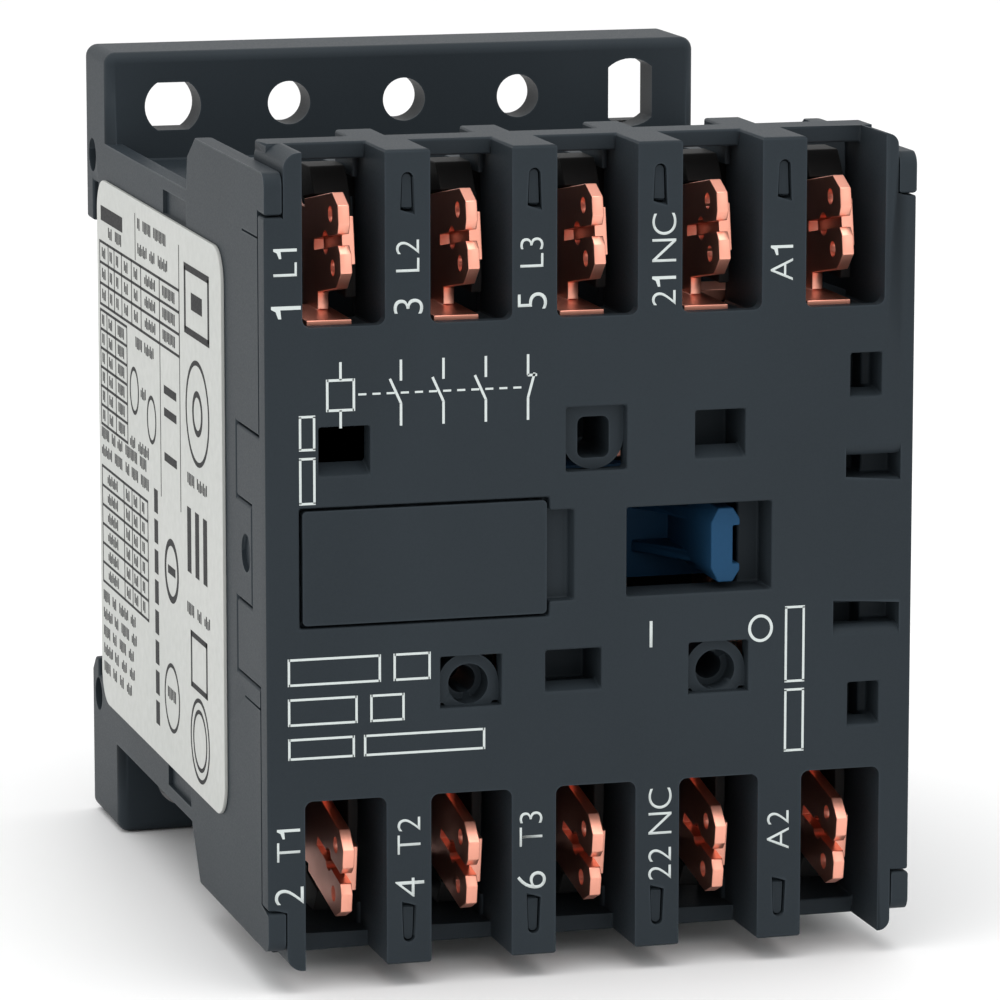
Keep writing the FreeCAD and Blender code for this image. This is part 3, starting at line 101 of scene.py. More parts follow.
class Shader:
    """A material's node tree, with short calls for the nodes used here."""

    def __init__(self, name):
        self.material = bpy.data.materials.new(name)
        self.material.use_nodes = True
        self.tree = self.material.node_tree
        self.tree.nodes.clear()
        self.surface = self.tree.nodes.new("ShaderNodeBsdfPrincipled")
        output = self.tree.nodes.new("ShaderNodeOutputMaterial")
        self.tree.links.new(self.surface.outputs["BSDF"], output.inputs["Surface"])
        self.place = self.add("ShaderNodeTexCoord").outputs["Object"]

    def add(self, kind, settings=None, **values):
        """A node with settings, and input sockets given by name, or by index as i0, i1 and so on."""
        node = self.tree.nodes.new(kind)
        for key, value in (settings or {}).items():
            setattr(node, key, value)
        for key, value in values.items():
            by_index = key[0] == "i" and key[1:].isdigit()
            self.feed(node.inputs[int(key[1:]) if by_index else key], value)
        return node

    def feed(self, socket, value):
        """A constant or a link into one socket."""
        if isinstance(value, bpy.types.NodeSocket):
            self.tree.links.new(value, socket)
        else:
            socket.default_value = value

    def noise(self, scale, detail=2.0, roughness=0.5, stretch=None):
        """Noise from 0 to 1, features per metre, stretched along the axes if asked."""
        place = self.place
        if stretch:
            place = self.add("ShaderNodeMapping", None, Vector=place, Scale=stretch).outputs["Vector"]
        node = self.add("ShaderNodeTexNoise", None, Vector=place, Scale=scale, Detail=detail,
                        Roughness=roughness)
        return node.outputs["Fac"]

    def span(self, value, low, high, new_low, new_high):
        """A value mapped from one range to another and clamped."""
        node = self.add("ShaderNodeMapRange", None, Value=value)
        ends = (("From Min", low), ("From Max", high), ("To Min", new_low), ("To Max", new_high))
        for key, number in ends:
            node.inputs[key].default_value = number
        return node.outputs["Result"]

    def share(self, value, low=NOISE_LOW, high=NOISE_HIGH, most=1.0):
        """From 0 to most as a value climbs from low to high."""
        return self.span(value, low, high, 0.0, most)

    def between(self, value, least, most):
        """From least to most as a noise climbs through its band."""
        return self.span(value, NOISE_LOW, NOISE_HIGH, least, most)

    def about(self, value, middle, swing):
        """A number that swings about its middle with a noise."""
        return self.between(value, middle - swing, middle + swing)

    def math(self, operation, first, second):
        """A math node on two values."""
        return self.add("ShaderNodeMath", {"operation": operation}, i0=first, i1=second).outputs[0]

    def mix(self, share, first, second):
        """A colour between two colours."""
        node = self.add("ShaderNodeMix", {"data_type": "RGBA"}, i0=share, i6=first, i7=second)
        return node.outputs[2]

    def bump(self, height, depth, strength):
        """A normal from a height field whose full range is depth, in metres."""
        node = self.add("ShaderNodeBump", None, Height=height, Distance=depth, Strength=strength)
        return node.outputs["Normal"]

    def edge(self, radius):
        """Near 0 on flat faces, towards 1 on convex and concave edges within the radius."""
        soft = self.add("ShaderNodeBevel", {"samples": BEVEL_SAMPLES}, Radius=radius).outputs["Normal"]
        flat = self.add("ShaderNodeNewGeometry").outputs["Normal"]
        product = self.add("ShaderNodeVectorMath", {"operation": "DOT_PRODUCT"}, i0=soft, i1=flat)
        return self.share(product.outputs["Value"], FLAT_DOT, EDGE_DOT)

    def set(self, **sockets):
        """Sockets of the surface shader, by name with _ for a space."""
        for key, value in sockets.items():
            self.feed(self.surface.inputs[key.replace("_", " ")], value)
        return self.material


def shade(colour, factor):
    """A colour made lighter or darker, with full alpha."""
    return tuple(min(1.0, channel * factor) for channel in colour[:3]) + (1.0,)


# ------------------------------------------------------------------ materials
# Colours are linear red, green and blue, with alpha.
HOUSING_COLOUR = (0.0245, 0.0315, 0.0375, 1.0)
GUARD_COLOUR = (0.022, 0.022, 0.022, 1.0)
CARRIER_COLOUR = (0.014, 0.054, 0.115, 1.0)
BOBBIN_COLOUR = (0.62, 0.60, 0.54, 1.0)
COPPER = (0.93, 0.42, 0.31, 1.0)
COPPER_DULL = (0.78, 0.30, 0.20, 1.0)
SILVER = (0.88, 0.87, 0.84, 1.0)
SILVER_DULL = (0.62, 0.60, 0.55, 1.0)
SPRING_STEEL = (0.56, 0.57, 0.59, 1.0)
SPRING_DULL = (0.40, 0.40, 0.42, 1.0)
CORE_LIGHT = (0.34, 0.34, 0.35, 1.0)
CORE_DARK = (0.22, 0.23, 0.25, 1.0)
CORE_GAP = (0.03, 0.028, 0.025, 1.0)
WIRE_LIGHT = (0.50, 0.16, 0.05, 1.0)
WIRE_DARK = (0.36, 0.10, 0.03, 1.0)
TAPE_LIGHT = (0.55, 0.36, 0.07, 1.0)
TAPE_DARK = (0.46, 0.28, 0.05, 1.0)
RUBBER_CLEAN = (0.018, 0.018, 0.018, 1.0)
RUBBER_DUSTY = (0.045, 0.043, 0.04, 1.0)
FILM_DARK = (0.49, 0.505, 0.48, 1.0)
FILM_LIGHT = (0.52, 0.53, 0.505, 1.0)
FILM_MOTTLE = (0.42, 0.43, 0.41, 1.0)
INK_WHITE = (0.60, 0.65, 0.64, 1.0)
INK_BLACK = (0.012, 0.012, 0.013, 1.0)
FLOOR_DARK = (0.93, 0.93, 0.93, 1.0)
FLOOR_LIGHT = (0.95, 0.95, 0.95, 1.0)
# Factors on a material's own colour.
FLOW_DARK = 0.93
FLOW_LIGHT = 1.07
SPECK_LIGHT = 1.45
WORN_LIGHT = 2.1
ROLLED_DARK = 0.8
SHEARED_LIGHT = 1.06
THIN_INK = 0.72
# What marks and edges do to a surface.
SCUFF_ROUGHNESS = 0.05
EDGE_POLISH = 0.10
FLOW_RELIEF = 0.8
SHEARED_SHARE = 0.5
PLASTIC_EDGE = 0.22 * MM
METAL_EDGE = 0.12 * MM
SHEET_THICKNESS = 0.5 * MM
SHEET_GAP = 0.14
ROLLING_STRETCH = (1.0, 1.0, 12.0)


def moulded_plastic(name, colour, roughness, grain=1.0, wear=0.35):
    """Spark-eroded thermoplastic: soft flow marks, fine grain and slightly polished edges."""
    m = Shader(name)
    flow = m.noise(scale=70, detail=3.0, roughness=0.55, stretch=(1.0, 1.0, 0.45))
    grain_field = m.noise(scale=7500, detail=2.0, roughness=0.6)
    scuff_field = m.noise(scale=900, detail=4.0, roughness=0.7, stretch=(1.0, 1.0, 6.0))
    scuffs = m.share(scuff_field, low=0.62, high=0.75)
    cast = m.mix(m.share(flow), shade(colour, FLOW_DARK), shade(colour, FLOW_LIGHT))
    speckled = m.mix(m.share(grain_field, low=0.35, most=0.16), cast, shade(colour, SPECK_LIGHT))
    patches = m.between(m.noise(scale=400), least=0.4, most=1.0)
    edges = m.math("MULTIPLY", m.edge(PLASTIC_EDGE), patches)
    worn = m.mix(m.math("MULTIPLY", edges, wear), speckled, shade(colour, WORN_LIGHT))
    grained = m.about(grain_field, middle=roughness, swing=0.05)
    scuffed = m.math("ADD", grained, m.math("MULTIPLY", scuffs, SCUFF_ROUGHNESS))
    polished = m.math("SUBTRACT", scuffed, m.math("MULTIPLY", edges, EDGE_POLISH))
    relief = m.math("ADD", grain_field, m.math("MULTIPLY", flow, FLOW_RELIEF))
    return m.set(Base_Color=worn, Roughness=polished,
                 Normal=m.bump(relief, depth=0.005 * MM * grain, strength=0.5),
                 Specular_IOR_Level=0.07)


def stamped_metal(name, colour, dull, roughness):
    """Stamped metal: rolling lines, cloudy tarnish and brighter sheared edges."""
    m = Shader(name)
    cloud = m.noise(scale=260, detail=4.0, roughness=0.6)
    lines = m.noise(scale=2600, detail=3.0, roughness=0.65, stretch=ROLLING_STRETCH)
    tarnished = m.mix(m.share(cloud, low=0.4, high=0.75, most=0.3), colour, dull)
    rolled = m.mix(m.share(lines, most=0.10), tarnished, shade(colour, ROLLED_DARK))
    edges = m.math("MULTIPLY", m.edge(METAL_EDGE), SHEARED_SHARE)
    sheared = m.mix(edges, rolled, shade(colour, SHEARED_LIGHT))
    rough = m.math("ADD", m.about(lines, middle=roughness, swing=0.03),
                   m.share(cloud, low=0.4, high=0.8, most=0.06))
    return m.set(Base_Color=sheared, Metallic=1.0, Roughness=rough,
                 Normal=m.bump(lines, depth=0.001 * MM, strength=0.3))


def laminated_steel(name):
    """A stack of thin silicon steel sheets, seen as fine lines across the stack."""
    m = Shader(name)
    depth = m.add("ShaderNodeSeparateXYZ", None, Vector=m.place).outputs["Y"]
    sheet_position = m.math("FRACT", m.math("MULTIPLY", depth, 1 / SHEET_THICKNESS), 0.0)
    gap = m.span(sheet_position, 0.0, SHEET_GAP, 1.0, 0.0)
    cloud = m.noise(scale=220, detail=4.0, roughness=0.6)
    steel = m.mix(m.share(cloud, low=0.35), CORE_LIGHT, CORE_DARK)
    striped = m.mix(gap, steel, CORE_GAP)
    height = m.math("SUBTRACT", 1.0, gap)
    return m.set(Base_Color=striped, Metallic=0.9, Roughness=m.between(cloud, least=0.32, most=0.5),
                 Normal=m.bump(height, depth=0.02 * MM, strength=0.7))


def enamelled_wire(name):
    """Enamelled copper wire: glossy amber-red varnish over copper."""
    m = Shader(name)
    cloud = m.noise(scale=800, detail=3.0, roughness=0.6)
    tone = m.mix(m.share(cloud, low=0.35), WIRE_LIGHT, WIRE_DARK)
    return m.set(Base_Color=tone, Metallic=0.7, Roughness=m.between(cloud, least=0.18, most=0.32),
                 Coat_Weight=0.6, Coat_Roughness=0.12)


def film_tape(name):
    """Amber polyester film wound round the coil, with faint wrinkles."""
    m = Shader(name)
    wrinkle = m.noise(scale=500, detail=3.0, roughness=0.6, stretch=(5.0, 1.0, 1.0))
    tone = m.mix(m.share(wrinkle, low=0.35), TAPE_LIGHT, TAPE_DARK)
    return m.set(Base_Color=tone, Roughness=m.between(wrinkle, least=0.22, most=0.38),
                 Normal=m.bump(wrinkle, depth=0.02 * MM, strength=0.6))


def soft_rubber(name):
    """Black rubber with a dusty, slightly pitted skin."""
    m = Shader(name)
    pits = m.noise(scale=3500, detail=3.0, roughness=0.7)
    dust = m.noise(scale=300, detail=3.0, roughness=0.5)
    tone = m.mix(m.share(dust, low=0.4, most=0.5), RUBBER_CLEAN, RUBBER_DUSTY)
    return m.set(Base_Color=tone, Roughness=m.between(pits, least=0.72, most=0.92),
                 Normal=m.bump(pits, depth=0.015 * MM, strength=0.6))


def label_film(name):
    """Satin polyester label stock with a slight mottle."""
    m = Shader(name)
    mottle = m.noise(scale=1400, detail=3.0, roughness=0.6)
    broad = m.noise(scale=60, detail=2.0, roughness=0.5)
    clean = m.mix(m.share(broad), FILM_DARK, FILM_LIGHT)
    mottled = m.mix(m.share(mottle, low=0.35, most=0.2), clean, FILM_MOTTLE)
    return m.set(Base_Color=mottled, Roughness=m.between(mottle, least=0.38, most=0.5),
                 Normal=m.bump(mottle, depth=0.002 * MM, strength=0.4), Specular_IOR_Level=0.3)


def printed_ink(name, colour, roughness):
    """Pad-printed ink, a little uneven in cover."""
    m = Shader(name)
    cover = m.noise(scale=5200, detail=3.0, roughness=0.7)
    tone = m.mix(m.share(cover, low=0.55, high=0.8, most=0.35), colour, shade(colour, THIN_INK))
    return m.set(Base_Color=tone, Roughness=m.about(cover, middle=roughness, swing=0.06),
                 Specular_IOR_Level=0.03)


def pale_floor(name):
    """A plain pale studio floor."""
    m = Shader(name)
    cloud = m.noise(scale=9, detail=2.0, roughness=0.5)
    tone = m.mix(m.share(cloud), FLOOR_DARK, FLOOR_LIGHT)
    return m.set(Base_Color=tone, Roughness=0.6)


MATERIALS = {
    "housing_black": moulded_plastic("housing_plastic", HOUSING_COLOUR, roughness=0.46),
    "guard_black": moulded_plastic("guard_plastic", GUARD_COLOUR, roughness=0.58),
    "carrier_blue": moulded_plastic("carrier_plastic", CARRIER_COLOUR, roughness=0.42, grain=0.7, wear=0.2),
    "bobbin_white": moulded_plastic("bobbin_plastic", BOBBIN_COLOUR, roughness=0.50, wear=0.1),
    "label_grey": label_film("label_film"),
    "copper": stamped_metal("terminal_copper", COPPER, COPPER_DULL, roughness=0.33),
    "contact_silver": stamped_metal("contact_silver", SILVER, SILVER_DULL, roughness=0.30),
    "spring_steel": stamped_metal("spring_steel", SPRING_STEEL, SPRING_DULL, roughness=0.25),
    "core_steel": laminated_steel("core_steel"),
    "pad_rubber": soft_rubber("pad_rubber"),
    "winding_copper": enamelled_wire("winding_wire"),
    "tape_amber": film_tape("coil_tape"),
}
WHITE_INK = printed_ink("white_ink", INK_WHITE, roughness=0.5)
BLACK_INK = printed_ink("black_ink", INK_BLACK, roughness=0.42)


# ------------------------------------------------------------------ mesh helpers
# Angles are in degrees and distances in millimetres.
WELD = 0.002
COPLANAR = 0.6
CRISP = 32
BENT = 8
ROOM_PER_WIDTH = 2.4
BEVEL_STEPS = 2
BEVEL_PROFILE = 0.5
SMOOTH_CREASE = 38.0
FLAT_WEIGHT = 60
SPRING_CREASE = 50.0


def new_object(name, data, material):
    """An object in the scene, made of one mesh and one material."""
    data.materials.append(material)
    piece = bpy.data.objects.new(name, data)
    bpy.context.scene.collection.objects.link(piece)
    return piece


def mesh_data(name, mesh):
    """The finished mesh of a bmesh, which is then freed."""
    data = bpy.data.meshes.new(name)
    mesh.to_mesh(data)
    mesh.free()
    return data


def new_piece(name, mesh, body, material):
    """A mesh object that rides on a body."""
    piece = new_object(name, mesh_data(name, mesh), material)
    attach(piece, body)
    return piece


def smooth(data, crease):
    """Smooth shading, kept sharp where the surface turns by more than the crease."""
    data.shade_smooth()
    data.set_sharp_from_angle(angle=math.radians(crease))


def tidy_normals(piece):
    """Smooth shading with sharp creases kept and flat faces left flat."""
    smooth(piece.data, SMOOTH_CREASE)
    weighted = piece.modifiers.new("flat_faces", "WEIGHTED_NORMAL")
    weighted.keep_sharp = True
    weighted.weight = FLAT_WEIGHT


def turn(edge):
    """How far the surface turns at an edge, in degrees."""
    return math.degrees(edge.calc_face_angle(0.0)) if len(edge.link_faces) == 2 else 0.0


def clear(edge, room):
    """Whether an edge and the edges it meets are long enough to take the rounding."""
    if edge.calc_length() < room:
        return False
    for vert in edge.verts:
        for other in vert.link_edges:
            if other is not edge and other.calc_length() < room and turn(other) > BENT:
                return False
    return True


def soften(node, width, print_plane=None):
    """Stands for a CAD node, with every clear edge rounded by a width in millimetres.

    A print plane (axis, place) holds the surface back by the depth of the print that lies on it.
    """
    mesh = bmesh.new()
    mesh.from_mesh(NODES[node].data)
    bmesh.ops.remove_doubles(mesh, verts=mesh.verts, dist=WELD * MM)
    bmesh.ops.dissolve_limit(mesh, angle_limit=math.radians(COPLANAR), verts=mesh.verts,
                             edges=mesh.edges, use_dissolve_boundaries=False)
    mesh.edges.ensure_lookup_table()
    crisp = {edge for edge in mesh.edges if turn(edge) > CRISP}
    room = ROOM_PER_WIDTH * width * MM
    chosen = [edge for edge in crisp if clear(edge, room)]
    bmesh.ops.bevel(mesh, geom=chosen, offset=width * MM, offset_type="OFFSET", segments=BEVEL_STEPS,
                    profile=BEVEL_PROFILE, affect="EDGES", clamp_overlap=False, loop_slide=True)
    if print_plane:
        axis, place = print_plane
        for vert in mesh.verts:
            vert.co[axis] = max(vert.co[axis], place + PRINT_DEPTH)
    bmesh.ops.recalc_face_normals(mesh, faces=mesh.faces)
    piece = new_piece(node + "_body", mesh, BODY_OF[node], MATERIALS[SLOT_OF[node]])
    tidy_normals(piece)
    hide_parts(node)


def spring_between(name, node, low_body, high_body):
    """A wire spring carried over from its CAD node and shaded smooth; it rides on no body, and the two
    bodies given are not used.
    """
    mesh = bmesh.new()
    mesh.from_mesh(NODES[node].data)
    data = mesh_data(name, mesh)
    piece = new_object(name, data, MATERIALS[SLOT_OF[node]])
    smooth(data, SPRING_CREASE)
    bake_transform(piece)
    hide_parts(node)


# ------------------------------------------------------------------ the CAD nodes
TERMINAL_EDGE = 0.07
BRIDGE_EDGE = 0.08
EDGE_WIDTH = {
    "front_cover": 0.17, "rear_base": 0.2, "marker_plate": 0.12, "contact_carrier": 0.12,
    "contact_base": 0.10, "upper_terminal_guard": 0.10, "lower_terminal_guard": 0.10,
    "rating_label": 0.05, "armature": 0.12, "fixed_core": 0.12, "coil_bobbin": 0.12, "core_pads": 0.2,
    "shading_rings": 0.08,
}
PRINT_PLANES = {"front_cover": (1, FRONT), "rating_label": (0, LEFT)}
CONTACT_SPRING = "contact_spring_"


def contact_spring(node):
    """A contact spring; the auxiliary one stands on the other side of its bridge."""
    contact = node[len(CONTACT_SPRING):]
    bridge_body = "bridge_" + contact + "_body"
    ends = ("carrier", bridge_body) if contact == "aux" else (bridge_body, "carrier")
    spring_between(node + "_wire", node, *ends)


def keep(node):
    """A CAD node that stays as it is, in its own material."""
    carried = NODES[node]
    carried.data.materials.clear()
    carried.data.materials.append(MATERIALS[SLOT_OF[node]])


for node in sorted(NODES):
    if node == "return_springs":
        spring_between("return_springs_wire", node, "housing", "carrier")
    elif node.startswith(CONTACT_SPRING):
        contact_spring(node)
    elif "terminal_" in node and "guard" not in node:
        soften(node, TERMINAL_EDGE)
    elif node.startswith(("bridge_", "fixed_contact")):
        soften(node, BRIDGE_EDGE)
    elif node in EDGE_WIDTH:
        soften(node, EDGE_WIDTH[node], PRINT_PLANES.get(node))
    else:
        keep(node)


# ------------------------------------------------------------------ flat print
# A print is drawn in millimetres, u to the right and v upwards, and then laid on its wall.
RING_STEPS = 40


def flat_shape(mesh, points):
    """A thin closed plate from (u, v) points, its face raised by the print's depth."""
    back = [mesh.verts.new((u * MM, v * MM, 0.0)) for u, v in points]
    top = [mesh.verts.new((u * MM, v * MM, PRINT_DEPTH)) for u, v in points]
    mesh.faces.new(list(reversed(back)))
    mesh.faces.new(top)
    count = len(points)
    for i in range(count):
        j = (i + 1) % count
        mesh.faces.new((back[i], back[j], top[j], top[i]))


def bar(mesh, u0, v0, u1, v1):
    """A printed rectangle."""
    flat_shape(mesh, [(u0, v0), (u1, v0), (u1, v1), (u0, v1)])


def stroke(mesh, start, end, width):
    """A printed straight line."""
    a = Vector(start)
    b = Vector(end)
    side = (b - a).normalized().orthogonal() * width / 2
    flat_shape(mesh, [tuple(a - side), tuple(b - side), tuple(b + side), tuple(a + side)])


def ring(mesh, centre, radius_u, radius_v, width):
    """A printed ring or ellipse."""
    def point(inwards, i):
        angle = 2 * math.pi * i / RING_STEPS
        u = centre[0] + (radius_u - inwards) * math.cos(angle)
        v = centre[1] + (radius_v - inwards) * math.sin(angle)
        return u, v

    for i in range(RING_STEPS):
        flat_shape(mesh, [point(0, i), point(0, i + 1), point(width, i + 1), point(width, i)])


# ------------------------------------------------------------------ lettering
FONT_THINNING = -0.012
# Shares of the capital height.
LETTER_GAP = 0.16
WORD_GAP = 0.42
ONE_WIDTH = 0.42
ONE_STROKE = 0.125
ONE_SHOULDER = 0.1
ONE_NECK = (0.18, 0.85)
ONE_FLAG_TOP = 0.76
ONE_FLAG_FOOT = 0.66
ONE_FLAG_ROOT = 0.69


def raise_outline(mesh):
    """Gives flat faces the print's thickness."""
    grown = bmesh.ops.extrude_face_region(mesh, geom=list(mesh.faces))["geom"]
    raised = [item for item in grown if isinstance(item, bmesh.types.BMVert)]
    bmesh.ops.translate(mesh, verts=raised, vec=(0, 0, PRINT_DEPTH))
    bmesh.ops.recalc_face_normals(mesh, faces=mesh.faces)


def glyph(letter):
    """A flat letter in font units, as a mesh with its left foot at (0, 0), and its size."""
    curve = bpy.data.curves.new("lettering", "FONT")
    curve.body = letter
    curve.offset = FONT_THINNING
    holder = bpy.data.objects.new("lettering", curve)
    bpy.context.scene.collection.objects.link(holder)
    bpy.context.view_layer.update()
    data = bpy.data.meshes.new_from_object(holder)
    bpy.data.objects.remove(holder)
    across = [v.co.x for v in data.vertices]
    up = [v.co.y for v in data.vertices]
    data.transform(Matrix.Translation((-min(across), -min(up), 0.0)))
    return data, max(across) - min(across), max(up) - min(up)


def figure_one(mesh, start, height):
    """The figure 1, drawn with a plain flag, from a place in millimetres rightwards."""
    stem = (ONE_WIDTH - ONE_STROKE) * height + start
    right = stem + ONE_STROKE * height
    neck_back, neck_up = ONE_NECK
    flat_shape(mesh, [
        (stem, 0.0), (right, 0.0), (right, height), (right - ONE_SHOULDER * height, height),
        (right - neck_back * height, neck_up * height), (start, ONE_FLAG_TOP * height),
        (start, ONE_FLAG_FOOT * height), (stem, ONE_FLAG_ROOT * height),
    ])


def add_letter(mesh, letter, pen, tall):
    """Adds one raised letter at the pen, both in metres, and returns its width."""
    data, wide, high = glyph(letter)
    scale = tall / high
    data.transform(Matrix.Diagonal((scale, scale, 1.0, 1.0)))
    single = bmesh.new()
    single.from_mesh(data)
    bpy.data.meshes.remove(data)
    raise_outline(single)
    bmesh.ops.translate(single, verts=single.verts, vec=(pen, 0.0, 0.0))
    copied = mesh_data("letter", single)
    mesh.from_mesh(copied)
    bpy.data.meshes.remove(copied)
    return wide * scale


def text_mesh(body, height):
    """Flat lettering with capitals of a height in millimetres, from (0, 0) rightwards."""
    mesh = bmesh.new()
    tall = height * MM
    pen = 0.0
    for letter in body:
        if letter == " ":
            pen += WORD_GAP * tall
        elif letter == "1":
            figure_one(mesh, pen / MM, height)
            pen += (ONE_WIDTH + LETTER_GAP) * tall
        else:
            pen += add_letter(mesh, letter, pen, tall) + LETTER_GAP * tall
    return mesh


# ------------------------------------------------------------------ print on the front wall
UPRIGHT = Matrix(((1, 0, 0), (0, 0, -1), (0, 1, 0)))


def front_print(name, mesh, x, z, quarter_turns=0):
    """Print on the front wall: +u to the right, or upwards after a quarter turn."""
    place = UPRIGHT @ Matrix.Rotation(math.pi / 2 * quarter_turns, 3, "Z")
    for vert in mesh.verts:
        vert.co = place @ vert.co + Vector((x * MM, FRONT + PRINT_DEPTH, z * MM))
    new_piece(name, mesh, "housing", WHITE_INK)


# The designations stand beside the chambers, whose columns run a little closer than the poles.
POLE_PITCH = 8.67
CHAMBER_LEFT = -19.95
COLUMN_CREEP = 0.2
NUMBER_INDENT = 0.1
LETTER_INDENT = 0.35
NUMBER_HEIGHT = 2.0
LETTER_HEIGHT = 1.58
# Heights of the number and of the letters, by side.
UPPER_Z = (16.55, 19.35)
LOWER_Z = (-22.85, -19.9)
# (number, letters, pole, heights)
POLE_PRINT = (
    ("1", "L1", 0, UPPER_Z), ("3", "L2", 1, UPPER_Z), ("5", "L3", 2, UPPER_Z),
    ("2", "T1", 0, LOWER_Z), ("4", "T2", 1, LOWER_Z), ("6", "T3", 2, LOWER_Z),
)
# (letters, x, z, height)
SIDE_PRINT = (
    ("21 NC", 5.62, 16.45, 1.66), ("22 NC", 5.52, -22.8, 1.62),
    ("A1", 13.8, 17.8, 1.56), ("A2", 13.88, -21.25, 1.56),
)


def terminal_print():
    """The standard terminal designations beside the chambers, reading upwards."""
    for number, letters, pole, (number_z, letter_z) in POLE_PRINT:
        x = CHAMBER_LEFT + pole * (POLE_PITCH - COLUMN_CREEP) - COLUMN_CREEP * (pole > 0)
        front_print("print_" + number, text_mesh(number, NUMBER_HEIGHT), x - NUMBER_INDENT, number_z, 1)
        front_print("print_" + letters, text_mesh(letters, LETTER_HEIGHT), x - LETTER_INDENT, letter_z, 1)
    for letters, x, z, height in SIDE_PRINT:
        front_print("print_" + letters.replace(" ", "_"), text_mesh(letters, height), x, z, 1)


ON_MARK = {"x": 3.91, "z": -6.73}
ON_HEIGHT = 1.8
OFF_MARK = {"x": 11.74, "z": -5.84}
OFF_RADII = (0.88, 0.95)
OFF_LINE = 0.2


def position_marks():
    """The I and O marks on both sides of the position window."""
    front_print("print_on_mark", text_mesh("I", ON_HEIGHT), **ON_MARK)
    mesh = bmesh.new()
    ring(mesh, (0.0, 0.0), *OFF_RADII, OFF_LINE)
    front_print("print_off_mark", mesh, **OFF_MARK)


CIRCUIT_PLACE = {"x": -18.3, "z": 9.15}
CIRCUIT_LINE = 0.17
CIRCUIT_TOP = 4.4
CONTACT_UP = 3.0
PIVOT_UP = 1.5
BLADE_UP = 3.15
BLADE_CLOSED = 0.45
BLADE_OPEN = -0.75
STOP_LEFT = -0.02
STOP_RIGHT = 0.62
CONTACT_FIRST = 5.0
CONTACT_PITCH = 2.9
CONTACTS = 4
COIL_WIDE = 1.8
COIL_LOW = 1.2
COIL_HIGH = 3.2
COIL_CORNER = 0.08
DASH = 0.55
DASH_PACE = 1.75
DASH_LINE = 0.8
LINKAGE_LEFT = 2.1
LINKAGE_RIGHT = 13.6


def contact_symbol(mesh, u, closed):
    """A contact as in circuit diagrams: two leads and a slanted blade."""
    stroke(mesh, (u, CIRCUIT_TOP), (u, CONTACT_UP), CIRCUIT_LINE)
    stroke(mesh, (u, 0.0), (u, PIVOT_UP), CIRCUIT_LINE)
    reach = BLADE_CLOSED if closed else BLADE_OPEN
    stroke(mesh, (u, PIVOT_UP), (u + reach, BLADE_UP), CIRCUIT_LINE)
    if closed:
        stroke(mesh, (u + STOP_LEFT, CONTACT_UP), (u + STOP_RIGHT, CONTACT_UP), CIRCUIT_LINE)


def coil_symbol(mesh):
    """A coil as in circuit diagrams: a box with a lead above and below."""
    middle = COIL_WIDE / 2
    stroke(mesh, (middle, CIRCUIT_TOP), (middle, COIL_HIGH), CIRCUIT_LINE)
    stroke(mesh, (middle, COIL_LOW), (middle, 0.0), CIRCUIT_LINE)
    for v in (COIL_LOW, COIL_HIGH):
        stroke(mesh, (0, v), (COIL_WIDE, v), CIRCUIT_LINE)
    for u in (0, COIL_WIDE):
        stroke(mesh, (u, COIL_LOW - COIL_CORNER), (u, COIL_HIGH + COIL_CORNER), CIRCUIT_LINE)


def circuit_print():
    """A small circuit diagram: coil, three main contacts and one auxiliary contact, linked by dashes."""
    mesh = bmesh.new()
    coil_symbol(mesh)
    for index in range(CONTACTS):
        contact_symbol(mesh, CONTACT_FIRST + CONTACT_PITCH * index, index == CONTACTS - 1)
    v = (COIL_LOW + COIL_HIGH) / 2
    u = LINKAGE_LEFT
    while u + DASH < LINKAGE_RIGHT:
        stroke(mesh, (u, v), (u + DASH, v), CIRCUIT_LINE * DASH_LINE)
        u += DASH * DASH_PACE
    front_print("print_circuit", mesh, **CIRCUIT_PLACE)


FRAME_LINE = 0.16
WORD_SPACE = 0.6
SPACE_PER_HEIGHT = 0.6
DATA_PLACE = {"x": -21.0, "z": -12.95}
# (height, gap above, lengths of the words), from the lowest row up
DATA_ROWS = ((1.3, 1.0, (4.4, 8.2)), (1.7, 1.0, (4.6, 2.2)), (1.7, 0.0, (6.2, 2.4)))
# (name, x, z, height, lengths of the words)
UPRIGHT_WORDS = (
    ("print_side_code", -19.2, 4.2, 0.95, (3.0, 2.2)),
    ("print_series_lines", 14.8, -14.4, 1.25, (4.2, 5.1)),
)


def frame_bar(mesh, u, v, length, height):
    """A word stand-in: an outlined bar with its corners closed."""
    corner = FRAME_LINE / 2
    for level in (v, v + height):
        stroke(mesh, (u, level), (u + length, level), FRAME_LINE)
    for side in (u, u + length):
        stroke(mesh, (side, v - corner), (side, v + height + corner), FRAME_LINE)


def framed_words(mesh, v, height, words, space):
    """A row of outlined bars, from u = 0 rightwards."""
    u = 0.0
    for length in words:
        frame_bar(mesh, u, v, length, height)
        u += length + space


def placeholder_print():
    """Outlined bars where a maker's text would stand: level rows and upright ones."""
    mesh = bmesh.new()
    v = 0.0
    for height, gap, words in DATA_ROWS:
        framed_words(mesh, v, height, words, height * SPACE_PER_HEIGHT)
        v += height + gap
    front_print("print_data_lines", mesh, **DATA_PLACE)
    for name, x, z, height, words in UPRIGHT_WORDS:
        mesh = bmesh.new()
        framed_words(mesh, 0.0, height, words, WORD_SPACE)
        front_print(name, mesh, x, z, 1)


terminal_print()
position_marks()
circuit_print()
placeholder_print()


# ------------------------------------------------------------------ the side label
# u runs to the front from the label's rear edge and v upwards from its lower one, in millimetres.
LABEL_LOW, LABEL_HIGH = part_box("rating_label")
LABEL_TALL = (LABEL_HIGH.z - LABEL_LOW.z) / MM
MARGIN = 0.9
TABLE_RIGHT = 27.8
INNER_RULE = 21.4
HAIRLINE = 0.16
TABLE_LINE = 0.2
WORD_HEIGHT = 0.85
CELL_WORD_HEIGHT = 0.8
